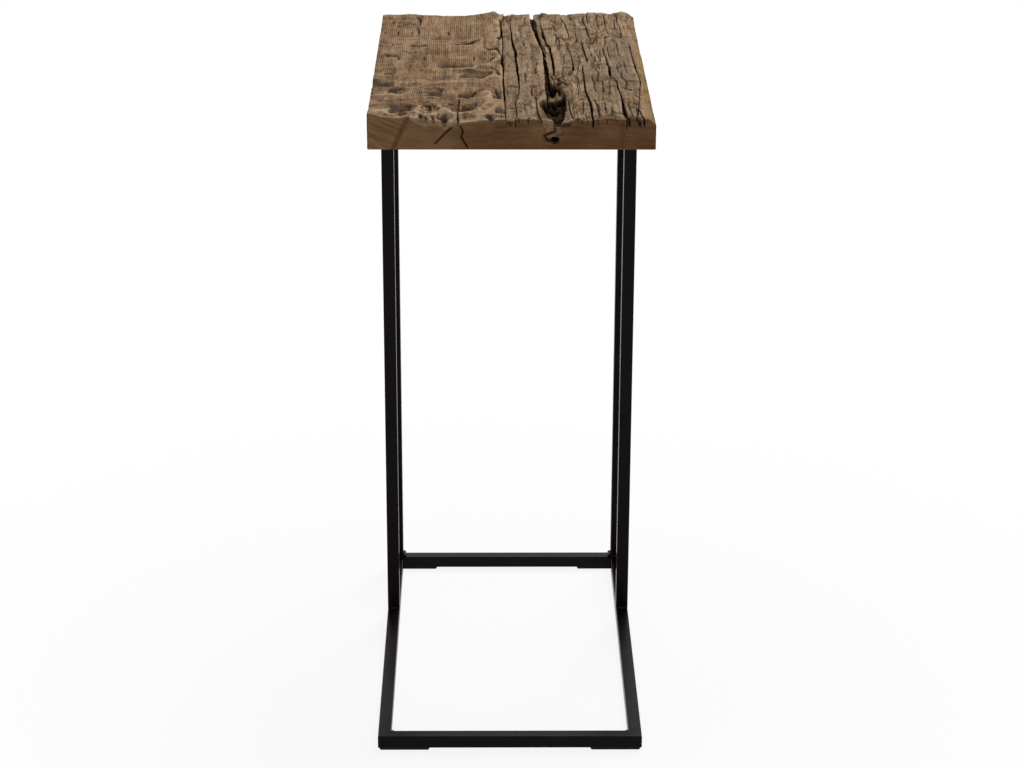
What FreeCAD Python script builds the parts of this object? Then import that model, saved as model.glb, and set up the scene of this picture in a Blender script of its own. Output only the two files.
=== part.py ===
import FreeCAD, Part

import math
import os

from FreeCAD import Vector

os.makedirs("parts", exist_ok=True)

# C-shaped accent table: a slab of old split timber on a welded frame of square iron bar.
# X runs across the table, Y from the open front to the back, Z up. The origin is on the
# floor, at the middle of the frame's footprint.

# Overall sizes, in millimetres
table_height = 635.0
ring_width = 260.0
ring_depth = 434.0
bar_size = 12.7
bar_edge_round = 0.9
cut_overrun = 5.0

# Places of the uprights, measured back from the front of the floor ring
front_upright_setback = 288.0

# Foot pads
pad_thickness = 2.5
pad_length = 50.0
pad_width = 10.7
pad_end_inset = 1.0
pad_end_slope = 1.5

# Timber slab
slab_thickness = 29.0
slab_side_overhang = 2.0
slab_back_overhang = 2.0
slab_front_setback = 25.0
slab_arris_round = 1.6
wane_width = 4.0
wane_drop = 5.0
wane_shoulder_share = 0.33
fissure_gap = 2.6
split_gap = 25.0
hairline_gap = 0.3
hairline_depth = 0.3
hollow_depth = 5.0
ripple_height = 1.2
ripple_length = 37.0

# Mounting ring under the slab
top_ring_front_setback = 55.0

# Welds
foot_bead_leg = 3.4
corner_bead_leg = 3.2
bead_bulge = 0.6

# Screws that hold the slab
screw_shank_radius = 2.1
screw_hole_clearance = 0.15
screw_pilot_clearance = 0.02
screw_head_radius = 3.9
screw_head_height = 2.7
screw_bite = 16.0
screw_tip_length = 5.0
screw_tip_radius = 0.4
screw_head_flat_share = 0.55
screw_head_shoulder_shares = (0.92, 0.5)
side_screw_share = 0.35

# Heights and places worked out from the sizes above
floor_ring_base = pad_thickness
floor_ring_top = floor_ring_base + bar_size
slab_base = table_height - slab_thickness
top_ring_base = slab_base - bar_size
ring_front = -ring_depth / 2
ring_back = ring_depth / 2
front_upright_face = ring_front + front_upright_setback
slab_front = ring_front + slab_front_setback
slab_back = ring_back + slab_back_overhang
slab_depth = slab_back - slab_front
slab_width = ring_width + slab_side_overhang * 2
top_ring_front = slab_front + top_ring_front_setback
top_ring_depth = ring_back - top_ring_front
half_ring = ring_width / 2
half_slab = slab_width / 2
slab_left = -half_slab
slab_right = half_slab

# Rows of a fissure: run from the front, place across, gap and depth. The run is a share of
# the slab's depth, the place of half its width, the gap of the fissure's own full gap and the
# depth of the slab's thickness.
left_fissure_shares = (
    (0.00, -0.041, 0.6, 0.14),
    (0.05, -0.045, 0.9, 0.20),
    (0.13, -0.043, 0.8, 0.20),
    (0.18, -0.051, 1.2, 0.28),
    (0.24, -0.051, 1.3, 0.30),
    (0.34, -0.049, 0.9, 0.24),
    (0.42, -0.048, 0.5, 0.14),
    (0.47, -0.053, 1.1, 0.28),
    (0.54, -0.059, 1.3, 0.30),
    (0.59, -0.052, 0.8, 0.20),
    (0.68, -0.051, 0.6, 0.16),
    (0.77, -0.047, 0.9, 0.18),
    (0.88, -0.059, 1.0, 0.22),
    (0.92, -0.045, 0.5, 0.12),
    (1.00, -0.037, 0.5, 0.12),
)
middle_fissure_shares = (
    (0.00, 0.026, 0.5, 0.10),
    (0.10, 0.030, 0.6, 0.14),
    (0.19, 0.030, 0.4, 0.10),
    (0.25, 0.053, 0.4, 0.10),
    (0.30, 0.062, 0.8, 0.20),
    (0.40, 0.056, 1.0, 0.24),
    (0.50, 0.051, 1.2, 0.28),
    (0.60, 0.045, 1.2, 0.28),
    (0.70, 0.031, 1.0, 0.24),
    (0.80, 0.020, 0.9, 0.22),
    (0.88, 0.016, 0.5, 0.12),
    (1.00, 0.011, 0.1, 0.03),
)
main_split_shares = (
    (0.00, 0.303, 0.56, 0.74),
    (0.03, 0.299, 0.52, 0.66),
    (0.06, 0.288, 0.80, 0.62),
    (0.10, 0.299, 1.00, 0.60),
    (0.14, 0.307, 1.08, 0.58),
    (0.18, 0.330, 0.88, 0.56),
    (0.22, 0.326, 0.88, 0.50),
    (0.26, 0.314, 0.76, 0.50),
    (0.30, 0.310, 0.68, 0.46),
    (0.33, 0.280, 0.36, 0.44),
    (0.36, 0.263, 0.18, 0.40),
    (0.45, 0.265, 0.15, 0.38),
    (0.57, 0.260, 0.18, 0.38),
    (0.64, 0.254, 0.14, 0.36),
    (0.70, 0.232, 0.09, 0.34),
    (0.78, 0.220, 0.12, 0.36),
    (0.85, 0.209, 0.16, 0.38),
    (0.93, 0.193, 0.17, 0.40),
    (0.96, 0.197, 0.21, 0.42),
    (1.00, 0.196, 0.32, 0.46),
)
side_split_shares = (
    (0.00, 0.432, 0.1, 0.02),
    (0.23, 0.432, 0.1, 0.02),
    (0.30, 0.409, 0.1, 0.03),
    (0.36, 0.378, 0.3, 0.05),
    (0.42, 0.332, 0.8, 0.18),
    (0.47, 0.326, 1.1, 0.26),
    (0.56, 0.320, 1.3, 0.28),
    (0.64, 0.314, 1.0, 0.24),
    (0.68, 0.307, 0.6, 0.20),
    (0.72, 0.280, 1.1, 0.24),
    (0.83, 0.263, 0.9, 0.20),
    (0.88, 0.257, 0.1, 0.04),
    (1.00, 0.257, 0.1, 0.02),
)
block_fissure_shares = (
    (0.00, 0.479, 0.1, 0.02),
    (0.30, 0.469, 0.1, 0.02),
    (0.40, 0.428, 0.5, 0.10),
    (0.44, 0.458, 0.8, 0.16),
    (0.50, 0.470, 0.7, 0.14),
    (0.64, 0.456, 0.6, 0.14),
    (0.72, 0.447, 0.5, 0.12),
    (0.76, 0.465, 0.6, 0.12),
    (0.83, 0.456, 0.8, 0.18),
    (0.88, 0.449, 0.9, 0.18),
    (0.93, 0.428, 1.0, 0.18),
    (1.00, 0.409, 0.1, 0.03),
)
front_block_fissure_shares = (
    (0.00, 0.564, 0.7, 0.16),
    (0.08, 0.561, 0.9, 0.20),
    (0.21, 0.547, 1.0, 0.22),
    (0.28, 0.538, 1.1, 0.24),
    (0.36, 0.538, 0.8, 0.18),
    (0.46, 0.536, 0.7, 0.16),
    (0.50, 0.541, 0.3, 0.06),
    (0.54, 0.580, 0.5, 0.12),
    (0.62, 0.568, 0.7, 0.16),
    (0.71, 0.561, 0.5, 0.12),
    (0.75, 0.591, 0.2, 0.04),
    (0.80, 0.618, 0.6, 0.12),
    (0.90, 0.609, 0.6, 0.12),
    (0.95, 0.622, 0.9, 0.16),
    (1.00, 0.622, 0.5, 0.10),
)
long_fissure_shares = (
    (0.00, 0.795, 0.8, 0.18),
    (0.05, 0.780, 1.3, 0.28),
    (0.13, 0.784, 1.2, 0.28),
    (0.20, 0.788, 1.6, 0.30),
    (0.26, 0.778, 1.3, 0.28),
    (0.33, 0.769, 1.1, 0.24),
    (0.36, 0.750, 0.6, 0.16),
    (0.40, 0.733, 0.8, 0.20),
    (0.46, 0.737, 1.3, 0.28),
    (0.54, 0.727, 1.2, 0.26),
    (0.60, 0.717, 0.9, 0.20),
    (0.67, 0.746, 0.9, 0.20),
    (0.72, 0.740, 0.8, 0.18),
    (0.78, 0.730, 0.5, 0.12),
    (0.82, 0.766, 0.5, 0.12),
    (0.85, 0.769, 0.9, 0.18),
    (0.90, 0.758, 0.7, 0.14),
    (1.00, 0.754, 0.7, 0.14),
)
sapwood_fissure_shares = (
    (0.00, 0.916, 0.8, 0.18),
    (0.05, 0.894, 0.8, 0.16),
    (0.12, 0.898, 0.7, 0.12),
    (0.22, 0.916, 0.6, 0.10),
    (0.34, 0.940, 0.6, 0.12),
    (0.42, 0.938, 0.8, 0.14),
    (0.50, 0.924, 1.0, 0.18),
    (0.60, 0.921, 0.9, 0.16),
    (0.70, 0.918, 0.6, 0.12),
    (0.74, 0.891, 0.6, 0.12),
    (0.87, 0.875, 0.5, 0.10),
    (0.93, 0.856, 0.6, 0.12),
    (1.00, 0.856, 0.6, 0.10),
)

# Hollows weathered into the top: place across, run, reach across, reach along and depth. The
# first and third follow half the slab's width, the second and fourth its depth, and the last
# the depth of the deepest hollow. A minus depth is a swell.
hollow_shares = (
    (-0.287, 0.724, 0.060, 0.017, 0.60),
    (-0.531, 0.775, 0.090, 0.018, 0.20),
    (-0.129, 0.655, 0.070, 0.022, 0.50),
    (-0.500, 0.504, 0.075, 0.026, 0.45),
    (-0.364, 0.484, 0.080, 0.030, 0.50),
    (-0.243, 0.396, 0.090, 0.038, 0.60),
    (-0.939, 0.318, 0.090, 0.032, 0.80),
    (-0.818, 0.244, 0.060, 0.032, 0.45),
    (-0.568, 0.244, 0.110, 0.036, 0.55),
    (-0.325, 0.205, 0.090, 0.030, 0.70),
    (-0.083, 0.225, 0.040, 0.055, 0.60),
    (-0.773, 0.090, 0.100, 0.050, 1.00),
    (-0.576, 0.095, 0.050, 0.022, 0.50),
    (-0.364, 0.103, 0.070, 0.045, 0.80),
    (-0.470, 0.010, 0.040, 0.030, 0.70),
    (-0.606, 0.000, 0.090, 0.020, 0.70),
    (-0.345, 0.000, 0.120, 0.020, 0.50),
    (-0.076, 0.056, 0.040, 0.020, 0.50),
    (-0.901, 0.010, 0.160, 0.055, -1.10),
    (-0.114, 1.000, 0.100, 0.040, -0.45),
    (0.647, 0.355, 0.130, 0.018, 0.45),
    (0.687, 0.040, 0.100, 0.020, 0.40),
    (0.871, 0.005, 0.060, 0.020, 0.80),
    (0.553, 0.520, 0.040, 0.016, 0.35),
    (0.608, 0.715, 0.050, 0.020, 0.30),
    (0.650, 1.000, 0.380, 0.050, -0.36),
    (0.000, 1.000, 1.300, 0.060, -0.18),
)

# Fissures in order from left to right, each with its full gap
fissures = (
    (left_fissure_shares, fissure_gap),
    (middle_fissure_shares, fissure_gap),
    (main_split_shares, split_gap),
    (side_split_shares, fissure_gap),
    (block_fissure_shares, fissure_gap),
    (front_block_fissure_shares, fissure_gap),
    (long_fissure_shares, fissure_gap),
    (sapwood_fissure_shares, fissure_gap),
)
# How many points the section has on each strip of timber between two fissures, and how far
# each strip stands above the general level, as a share of the ripples' height
strip_points = (12, 1, 3, 1, 1, 2, 2, 2, 1)
strip_level_shares = (0.0, -0.6, 0.3, -0.8, 0.2, -0.4, 0.4, -0.3, -0.9)
floor_width_share = 0.35
station_count = 40


def save(name, shape):
    """Write one piece, and say how many solids it has."""
    if not shape.isValid():
        raise ValueError(name + " is not a valid solid")
    shape.exportStep("parts/" + name + ".step")
    print(name, len(shape.Solids), "solids", round(shape.Volume), "mm3")


def block(x_low, y_low, z_low, x_size, y_size, z_size):
    return Part.makeBox(x_size, y_size, z_size, Vector(x_low, y_low, z_low))


def edges_along(shape, direction):
    """The straight edges of a shape that run along a direction."""
    found = []
    for edge in shape.Edges:
        run = edge.Vertexes[-1].Point - edge.Vertexes[0].Point
        if run.Length > 0 and run.cross(direction).Length < run.Length * 1e-6:
            found.append(edge)
    return found


def rectangle(x_low, x_high, y_low, y_high, z):
    """Corners in order, starting at the front left and going round by the right."""
    return [Vector(x_low, y_low, z), Vector(x_high, y_low, z),
            Vector(x_high, y_high, z), Vector(x_low, y_high, z)]


def row_at(rows, run):
    """Values of a table of shares at one run along the slab, between its rows."""
    for low, high in zip(rows, rows[1:]):
        if run <= high[0]:
            part = (run - low[0]) / (high[0] - low[0])
            return [a + (b - a) * part for a, b in zip(low[1:], high[1:])]
    return list(rows[-1][1:])


# Timber slab

def top_level(x, y, strip):
    """Height of the weathered top above the base of the frame's top ring."""
    run = (y - slab_front) / slab_depth
    across = x / half_slab
    level = slab_thickness + ripple_height * strip_level_shares[strip]
    if strip == 0:
        growth = 1 - run
        phase = 2 * math.pi * (y / ripple_length + across)
        level += ripple_height * growth * math.sin(phase)
    for place, along, reach, length, depth in hollow_shares:
        away = ((across - place) / reach) ** 2 + ((run - along) / length) ** 2
        level -= hollow_depth * depth * math.exp(-away)
    return level


def slab_section(y):
    """Outline of the slab across its width at one place along it."""
    run = (y - slab_front) / slab_depth
    points = [(slab_left, 0), (slab_left, top_level(slab_left, y, 0) - slab_arris_round)]
    left = slab_left + slab_arris_round
    for strip, count in enumerate(strip_points):
        last = strip == len(fissures)
        if last:
            right = slab_right - wane_width
        else:
            rows, full_gap = fissures[strip]
            place, gap_share, depth_share = row_at(rows, run)
            gap = max(full_gap * gap_share, hairline_gap)
            centre = place * half_slab
            right = centre - gap / 2
        for step in range(count + 1):
            x = left + (right - left) * step / count
            points.append((x, top_level(x, y, strip)))
        if not last:
            depth = max(slab_thickness * depth_share, hairline_depth)
            bottom = top_level(centre, y, strip) - depth
            half_floor = gap * floor_width_share / 2
            if full_gap == split_gap:
                points.append((centre - half_floor, bottom))
                points.append((centre + half_floor, bottom))
            else:
                points.append((centre, bottom))
            left = centre + gap / 2
    edge = top_level(slab_right, y, strip)
    points.append((slab_right - wane_width * wane_shoulder_share,
                   edge - wane_drop * wane_shoulder_share))
    points.append((slab_right, edge - wane_drop))
    points.append((slab_right, 0))
    return [Vector(x, y, slab_base + z) for x, z in points]


def skin_between(near, far):
    """Flat three-sided faces that join two sections of the slab."""
    faces = []
    for a, b, c, d in zip(near, near[1:] + near[:1], far, far[1:] + far[:1]):
        for corners in ((a, b, d), (a, d, c)):
            faces.append(Part.Face(Part.makePolygon(list(corners) + [corners[0]])))
    return faces


def slab():
    stations = [slab_front + slab_depth * i / station_count for i in range(station_count + 1)]
    sections = [slab_section(y) for y in stations]
    faces = [Part.Face(Part.makePolygon(end + end[:1])) for end in (sections[0], sections[-1])]
    for near, far in zip(sections, sections[1:]):
        faces += skin_between(near, far)
    shell = Part.makeShell(faces)
    shell.sewShape()
    timber = Part.makeSolid(shell)
    if timber.Volume < 0:
        timber.reverse()
    pilots = [Part.makeCylinder(screw_shank_radius + screw_pilot_clearance,
                                screw_bite + cut_overrun,
                                Vector(x, y, slab_base - cut_overrun))
              for x, y in screw_places()]
    return timber.cut(Part.makeCompound(pilots))


# Iron frame

def ring(depth, front, base):
    """Four rounded bars mitred into a ring: front, right, back and left."""
    back = front + depth
    out, reach = cut_overrun, bar_size + cut_overrun
    outer = rectangle(-half_ring - out, half_ring + out, front - out, back + out, base - out)
    inner = rectangle(-half_ring + reach, half_ring - reach, front + reach, back - reach,
                      base - out)
    stock = (
        ("front", -half_ring, front, ring_width, bar_size),
        ("right", half_ring - bar_size, front, bar_size, depth),
        ("back", -half_ring, back - bar_size, ring_width, bar_size),
        ("left", -half_ring, front, bar_size, depth),
    )
    bars = {}
    for start, (side, x_low, y_low, x_size, y_size) in enumerate(stock):
        bar = block(x_low, y_low, base, x_size, y_size, bar_size)
        along = Vector(1, 0, 0) if x_size > y_size else Vector(0, 1, 0)
        bar = bar.makeFillet(bar_edge_round, edges_along(bar, along))
        end = (start + 1) % len(outer)
        mitred = [outer[start], outer[end], inner[end], inner[start]]
        wedge = Part.Face(Part.makePolygon(mitred + mitred[:1]))
        bars[side] = bar.common(wedge.extrude(Vector(0, 0, bar_size + out * 2)))
    return bars


def upright(side, y_front):
    """One square post from the floor ring to the top ring, flush with their outer sides."""
    x_low = -half_ring if side < 0 else half_ring - bar_size
    post = block(x_low, y_front, floor_ring_top, bar_size, bar_size,
                 top_ring_base - floor_ring_top)
    return post.makeFillet(bar_edge_round, edges_along(post, Vector(0, 0, 1)))


def bead(corner, first, second, run, leg):
    """Weld bead with a rounded face, laid in the corner between two faces."""
    toe = corner + first * leg
    heel = corner + second * leg
    outward = (first + second).normalize()
    crown = (toe + heel) * 0.5 + outward * bead_bulge
    profile = Part.Wire([
        Part.LineSegment(corner, toe).toShape(),
        Part.Arc(toe, crown, heel).toShape(),
        Part.LineSegment(heel, corner).toShape(),
    ])
    return Part.Face(profile).extrude(run)


def upright_beads(level, up):
    """Beads where the uprights' ends meet a ring, above it or below it."""
    length = bar_size - bar_edge_round * 2
    beads = []
    for side in (-1, 1):
        outer = side * (half_ring - bar_edge_round)
        inner = side * (half_ring - bar_size)
        across = Vector(-side * length, 0, 0)
        rear_face = ring_back - bar_size
        for y, toward in ((front_upright_face, -1), (front_upright_face + bar_size, 1),
                          (rear_face, -1)):
            beads.append(bead(Vector(outer, y, level), Vector(0, toward, 0),
                              Vector(0, 0, up), across, foot_bead_leg))
        beads.append(bead(Vector(inner, rear_face + bar_edge_round, level),
                          Vector(-side, 0, 0), Vector(0, 0, up),
                          Vector(0, length, 0), foot_bead_leg))
    return Part.makeCompound(beads)


def corner_beads(front, depth, base):
    """Upright beads in the four inner corners of a ring."""
    beads = []
    rise = Vector(0, 0, bar_size - bar_edge_round * 2)
    for side in (-1, 1):
        for y, toward in ((front + bar_size, 1), (front + depth - bar_size, -1)):
            corner = Vector(side * (half_ring - bar_size), y, base + bar_edge_round)
            beads.append(bead(corner, Vector(-side, 0, 0), Vector(0, toward, 0),
                              rise, corner_bead_leg))
    return Part.makeCompound(beads)


def foot_pad(side, end):
    """Thin pad glued under a ring corner, along the front or back bar, with sloped ends."""
    y_middle = end * (ring_depth / 2 - bar_size / 2)
    x_outer = side * (half_ring - pad_end_inset)
    x_low = min(x_outer, x_outer - side * pad_length)
    x_high = x_low + pad_length
    y = y_middle - pad_width / 2
    outline = [Vector(x_low, y, pad_thickness), Vector(x_high, y, pad_thickness),
               Vector(x_high - pad_end_slope, y, 0), Vector(x_low + pad_end_slope, y, 0)]
    return Part.Face(Part.makePolygon(outline + outline[:1])).extrude(Vector(0, pad_width, 0))


# Screws through the top ring into the slab

def screw_places():
    """Two screws in each side bar, clear of the uprights, and one in each cross bar."""
    x_side = half_ring - bar_size / 2
    y_front = top_ring_front + (front_upright_face - top_ring_front) * side_screw_share
    y_rear = (front_upright_face + bar_size + ring_back - bar_size) / 2
    places = [(side * x_side, y) for side in (-1, 1) for y in (y_front, y_rear)]
    return places + [(0, top_ring_front + bar_size / 2), (0, ring_back - bar_size / 2)]


def screw(x, y):
    """Pan-head wood screw, pointing up, with its head under the ring."""
    seat = top_ring_base
    point = slab_base + screw_bite
    underside = Vector(0, 0, seat - screw_head_height)
    crown = Vector(screw_head_radius * screw_head_flat_share, 0, underside.z)
    out_share, down_share = screw_head_shoulder_shares
    profile = Part.makePolygon([
        underside,
        crown,
        Vector(screw_head_radius * out_share, 0, seat - screw_head_height * down_share),
        Vector(screw_head_radius, 0, seat),
        Vector(screw_shank_radius, 0, seat),
        Vector(screw_shank_radius, 0, point - screw_tip_length),
        Vector(screw_tip_radius, 0, point),
        Vector(0, 0, point),
        underside,
    ])
    turned = Part.Face(profile).revolve(Vector(0, 0, 0), Vector(0, 0, 1), 360)
    return turned.translated(Vector(x, y, 0))


def drill(bar):
    """Screw holes through one bar of the top ring."""
    for x, y in screw_places():
        hole = Part.makeCylinder(screw_shank_radius + screw_hole_clearance,
                                 bar_size + cut_overrun * 2,
                                 Vector(x, y, top_ring_base - cut_overrun))
        if bar.BoundBox.isInside(Vector(x, y, top_ring_base + bar_size / 2)):
            bar = bar.cut(hole)
    return bar


save("slab", slab())

for side, bar in ring(ring_depth, ring_front, floor_ring_base).items():
    save("floor_bar_" + side, bar)
for side, bar in ring(top_ring_depth, top_ring_front, top_ring_base).items():
    save("top_bar_" + side, drill(bar))

for side_name, side in (("left", -1), ("right", 1)):
    save("upright_front_" + side_name, upright(side, front_upright_face))
    save("upright_rear_" + side_name, upright(side, ring_back - bar_size))
    save("foot_pad_front_" + side_name, foot_pad(side, -1))
    save("foot_pad_rear_" + side_name, foot_pad(side, 1))

save("foot_weld_beads", upright_beads(floor_ring_top, 1))
save("head_weld_beads", upright_beads(top_ring_base, -1))
save("floor_ring_corner_welds", corner_beads(ring_front, ring_depth, floor_ring_base))
save("top_ring_corner_welds", corner_beads(top_ring_front, top_ring_depth, top_ring_base))
save("slab_screws", Part.makeCompound([screw(x, y) for x, y in screw_places()]))
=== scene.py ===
import functools
import math

import bpy
import numpy as np
from mathutils import Matrix, Vector


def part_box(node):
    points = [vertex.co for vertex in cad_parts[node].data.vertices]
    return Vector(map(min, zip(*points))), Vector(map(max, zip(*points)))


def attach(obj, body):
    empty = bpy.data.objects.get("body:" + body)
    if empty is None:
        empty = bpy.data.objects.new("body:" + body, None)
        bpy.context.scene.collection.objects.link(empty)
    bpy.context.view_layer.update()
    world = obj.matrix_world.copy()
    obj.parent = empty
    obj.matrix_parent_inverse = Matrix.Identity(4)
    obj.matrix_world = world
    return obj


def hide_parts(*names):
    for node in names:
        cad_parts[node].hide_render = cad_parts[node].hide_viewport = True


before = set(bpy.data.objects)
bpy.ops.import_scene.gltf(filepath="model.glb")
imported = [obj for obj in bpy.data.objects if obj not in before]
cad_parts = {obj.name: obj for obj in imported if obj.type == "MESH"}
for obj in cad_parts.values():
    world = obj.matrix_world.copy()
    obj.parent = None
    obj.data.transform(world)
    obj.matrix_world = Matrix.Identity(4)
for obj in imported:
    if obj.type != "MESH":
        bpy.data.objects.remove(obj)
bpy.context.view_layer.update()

# C-shaped accent table: a slab of old split timber on a welded frame of square iron bar. Work
# on the timber is in millimetres in the frame's axes, and a mesh gets metres at its end.
MM = 0.001


def box_mm(node):
    """Lowest and highest corner of a CAD node, in millimetres."""
    low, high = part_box(node)
    return np.array(low) / MM, np.array(high) / MM


slab_low, slab_high = box_mm("slab")
slab_left, slab_front, slab_base = slab_low
slab_right, slab_back, slab_highest = slab_high
slab_depth = slab_back - slab_front

# The slab's top and its edges
board_thickness = 29.0
arris_round = 1.3
left_waver = 0.35
right_waver = 0.3
wane_width = 8.0
wane_drop = 5.5
row_count = 198
side_rows = 16
row_crowding = 1.12

# Columns of the slab's mesh on each strip of timber between two fissures, and inside each
# fissure, each strip's width for its blocks, and its height above the general level
strip_columns = (112, 14, 40, 14, 30, 24, 36, 34, 14)
fissure_columns = (5, 5, 24, 5, 5, 5, 5, 4)
strip_widths = (126.0, 10.0, 27.0, 5.0, 17.0, 14.0, 26.0, 20.0, 10.0)
strip_rise = (0.0, -1.0, 0.2, -1.2, 0.4, -0.5, 0.6, -0.2, -0.8)

# Fissures from left to right: rows of place along, left lip, right lip and depth
left_fissure = (
    (-192, -4.6, -3.9, 3), (-178, -6, -5, 5), (-160, -6.2, -4.8, 6), (-139, -6, -5.2, 5),
    (-112, -7, -4.9, 7), (-90, -7, -5, 8), (-58, -7.6, -5.6, 7), (-34, -7.4, -6.2, 6),
    (-6, -7.4, -5.6, 6), (14, -8.6, -5.6, 8), (42, -8.6, -6, 8), (54, -7.2, -6.2, 5),
    (84, -7, -6, 4), (112, -7.2, -6.2, 4), (142, -8, -6, 7), (153, -8, -6, 7), (162, -7.8, -6.8, 5),
    (182, -7.8, -6.6, 6), (198, -6.6, -5.8, 4), (217, -5.4, -4.6, 4),
)
middle_fissure = (
    (-192, 3.2, 4.2, 3), (-173, 4.8, 6, 4), (-150, 4.2, 5, 3), (-128, 3.6, 4.8, 4),
    (-104, 6.4, 7.2, 3), (-78, 7.8, 9.2, 5), (-54, 7.4, 9, 6), (-34, 7, 9, 6), (-14, 6, 8.4, 7),
    (8, 5.6, 8, 8), (30, 5.2, 7.2, 6), (50, 4.8, 8, 8), (66, 4.4, 7.4, 7), (84, 3.2, 6.2, 7),
    (102, 2.4, 5, 7), (124, 2.2, 4, 6), (150, 1.8, 3.2, 5), (178, 1.4, 2.4, 4), (194, 1.8, 2.2, 1),
    (217, 2, 2.4, 1),
)
main_split = (
    (-192, 39, 45.6, 4), (-187, 37, 46.6, 5.5), (-181, 34.8, 48.2, 11), (-174, 32.6, 49.8, 15),
    (-167, 31, 51, 16), (-160, 29.6, 52, 16), (-153, 28, 52.6, 15), (-150, 26.6, 53, 14),
    (-141, 25.8, 53.2, 15), (-134, 25.4, 53.4, 15), (-127, 26.8, 53.2, 15), (-123, 31.4, 53.2, 15),
    (-117, 33.6, 53, 15), (-106, 33.2, 52.8, 14), (-94, 33, 52, 14), (-80, 32.6, 51, 14),
    (-70, 32.2, 50.4, 15), (-66, 32.2, 49.6, 15), (-61, 32.4, 46, 14), (-57, 33.2, 39.6, 11),
    (-40, 32.8, 38, 10), (-10, 33, 37.6, 10), (7, 32.8, 37.4, 10), (20, 32.8, 37, 9),
    (41, 33, 36, 9), (62, 32.6, 37, 10), (84, 31.4, 35.8, 10), (94, 30, 33.8, 9),
    (102, 28.8, 32.2, 10), (118, 27.6, 32, 10), (134, 26.4, 30.8, 10), (148, 25.2, 30.2, 11),
    (160, 24.6, 29.6, 11), (174, 23.8, 29.4, 11), (187, 23, 29.4, 10), (195, 22.8, 29.6, 9),
    (200, 23.2, 27.8, 7), (208, 22.6, 26.4, 5.4), (217, 22.4, 26.8, 5.4),
)
side_split = (
    (-192, 57.4, 57.8, 0.5), (-90, 57.6, 57.9, 0.5), (-66, 55, 55.4, 0.6), (-50, 46, 46.3, 0.5),
    (-40, 44, 44.3, 0.5), (-20, 42.4, 43.4, 0.5), (-13, 42, 44, 5), (-5, 41.6, 44.2, 8),
    (22, 41.2, 43.8, 8), (42, 40.8, 43, 8), (64, 39.8, 41.8, 7), (84, 39.4, 42.2, 8),
    (96, 37, 38.4, 5), (104, 36.4, 37.8, 5), (118, 35.2, 38, 8), (128, 33.2, 37.4, 9),
    (140, 32.2, 36.2, 10), (147, 32.4, 35.8, 8), (154, 33.8, 35.2, 4), (170, 33.2, 34, 3),
    (186, 33.6, 33.9, 0.5), (217, 33.8, 34.1, 0.5),
)
block_fissure = (
    (-192, 63, 63.3, 0.5), (-70, 61.2, 61.5, 0.5), (-30, 57.6, 58.4, 2), (-14, 59.8, 61.2, 4),
    (8, 61.2, 63, 5), (30, 61.2, 62.6, 4), (52, 60, 61.4, 4), (60, 59.4, 60.6, 3),
    (82, 57.9, 59, 3), (103, 58, 59, 3), (112, 59.8, 60.6, 3), (130, 60.8, 62, 4),
    (152, 59.6, 61.2, 5), (168, 58.6, 60.4, 5), (180, 57.8, 59.6, 5), (188, 56, 58.2, 6),
    (196, 54.8, 56.2, 4), (206, 54.4, 54.8, 1), (217, 54.2, 54.5, 0.5),
)
front_block_fissure = (
    (-192, 73.8, 75.6, 5), (-174, 73, 75, 6), (-159, 73.4, 76, 7), (-134, 72.8, 75.4, 7),
    (-123, 71.8, 74.2, 7), (-103, 70.6, 72.6, 6), (-90, 70, 71.6, 5), (-58, 70, 71.6, 5),
    (-4, 70.4, 71.8, 4), (9, 70.4, 71.8, 3), (15, 72.2, 73.4, 2), (24, 76.6, 78.2, 3),
    (32, 76, 77.4, 4), (60, 74.4, 75.8, 4), (84, 73.4, 74.8, 4), (104, 73, 74.2, 3),
    (116, 78, 78.4, 0.7), (121, 81.2, 82.6, 3), (152, 80.2, 81.8, 4), (172, 79.2, 80.8, 4),
    (198, 76.4, 78.2, 4), (206, 79, 80, 2), (217, 81.6, 82.6, 3),
)
long_fissure = (
    (-192, 107, 109.4, 6), (-184, 103.8, 106.2, 7), (-172, 102.2, 104.8, 8),
    (-147, 102.2, 105.6, 9), (-128, 102.8, 105.4, 8), (-109, 102.6, 104.8, 7),
    (-84, 101.4, 103.4, 6), (-60, 100.8, 102.6, 5), (-50, 99.6, 101.8, 5), (-34, 95, 97.4, 7),
    (-15, 95, 98.2, 8), (0, 95.8, 98.2, 7), (20, 95, 97, 6), (40, 94.6, 96.4, 5), (56, 93.2, 95, 5),
    (72, 93, 94.2, 3), (80, 94.6, 95.2, 1), (97, 96.8, 98.2, 4), (110, 96.4, 97.8, 4),
    (120, 96.2, 97.2, 3), (126, 101, 101.4, 0.7), (132, 102.4, 103.4, 3), (152, 100.4, 101.6, 4),
    (162, 99.6, 100.8, 4), (217, 99.4, 100.6, 4),
)
sapwood_fissure = (
    (-192, 120, 122.4, 5), (-175, 118, 119.8, 4), (-150, 117.2, 118.4, 3), (-100, 121, 122, 3),
    (-53, 124, 125.4, 3), (-28, 123.8, 125.2, 3), (-3, 122.2, 123.8, 4), (22, 121.4, 123, 5),
    (53, 120.8, 122.2, 5), (82, 120.8, 122.2, 5), (97, 120.4, 121.8, 5), (106, 119, 120.6, 5),
    (114, 116, 117.4, 5), (130, 114.2, 115.4, 4), (147, 114.8, 116, 3), (172, 114.2, 115.4, 3),
    (184, 113, 114.2, 3), (217, 112.4, 113.6, 4),
)
fissures = (left_fissure, middle_fissure, main_split, side_split, block_fissure,
            front_block_fissure, long_fissure, sapwood_fissure)
main_split_number = fissures.index(main_split)

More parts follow.
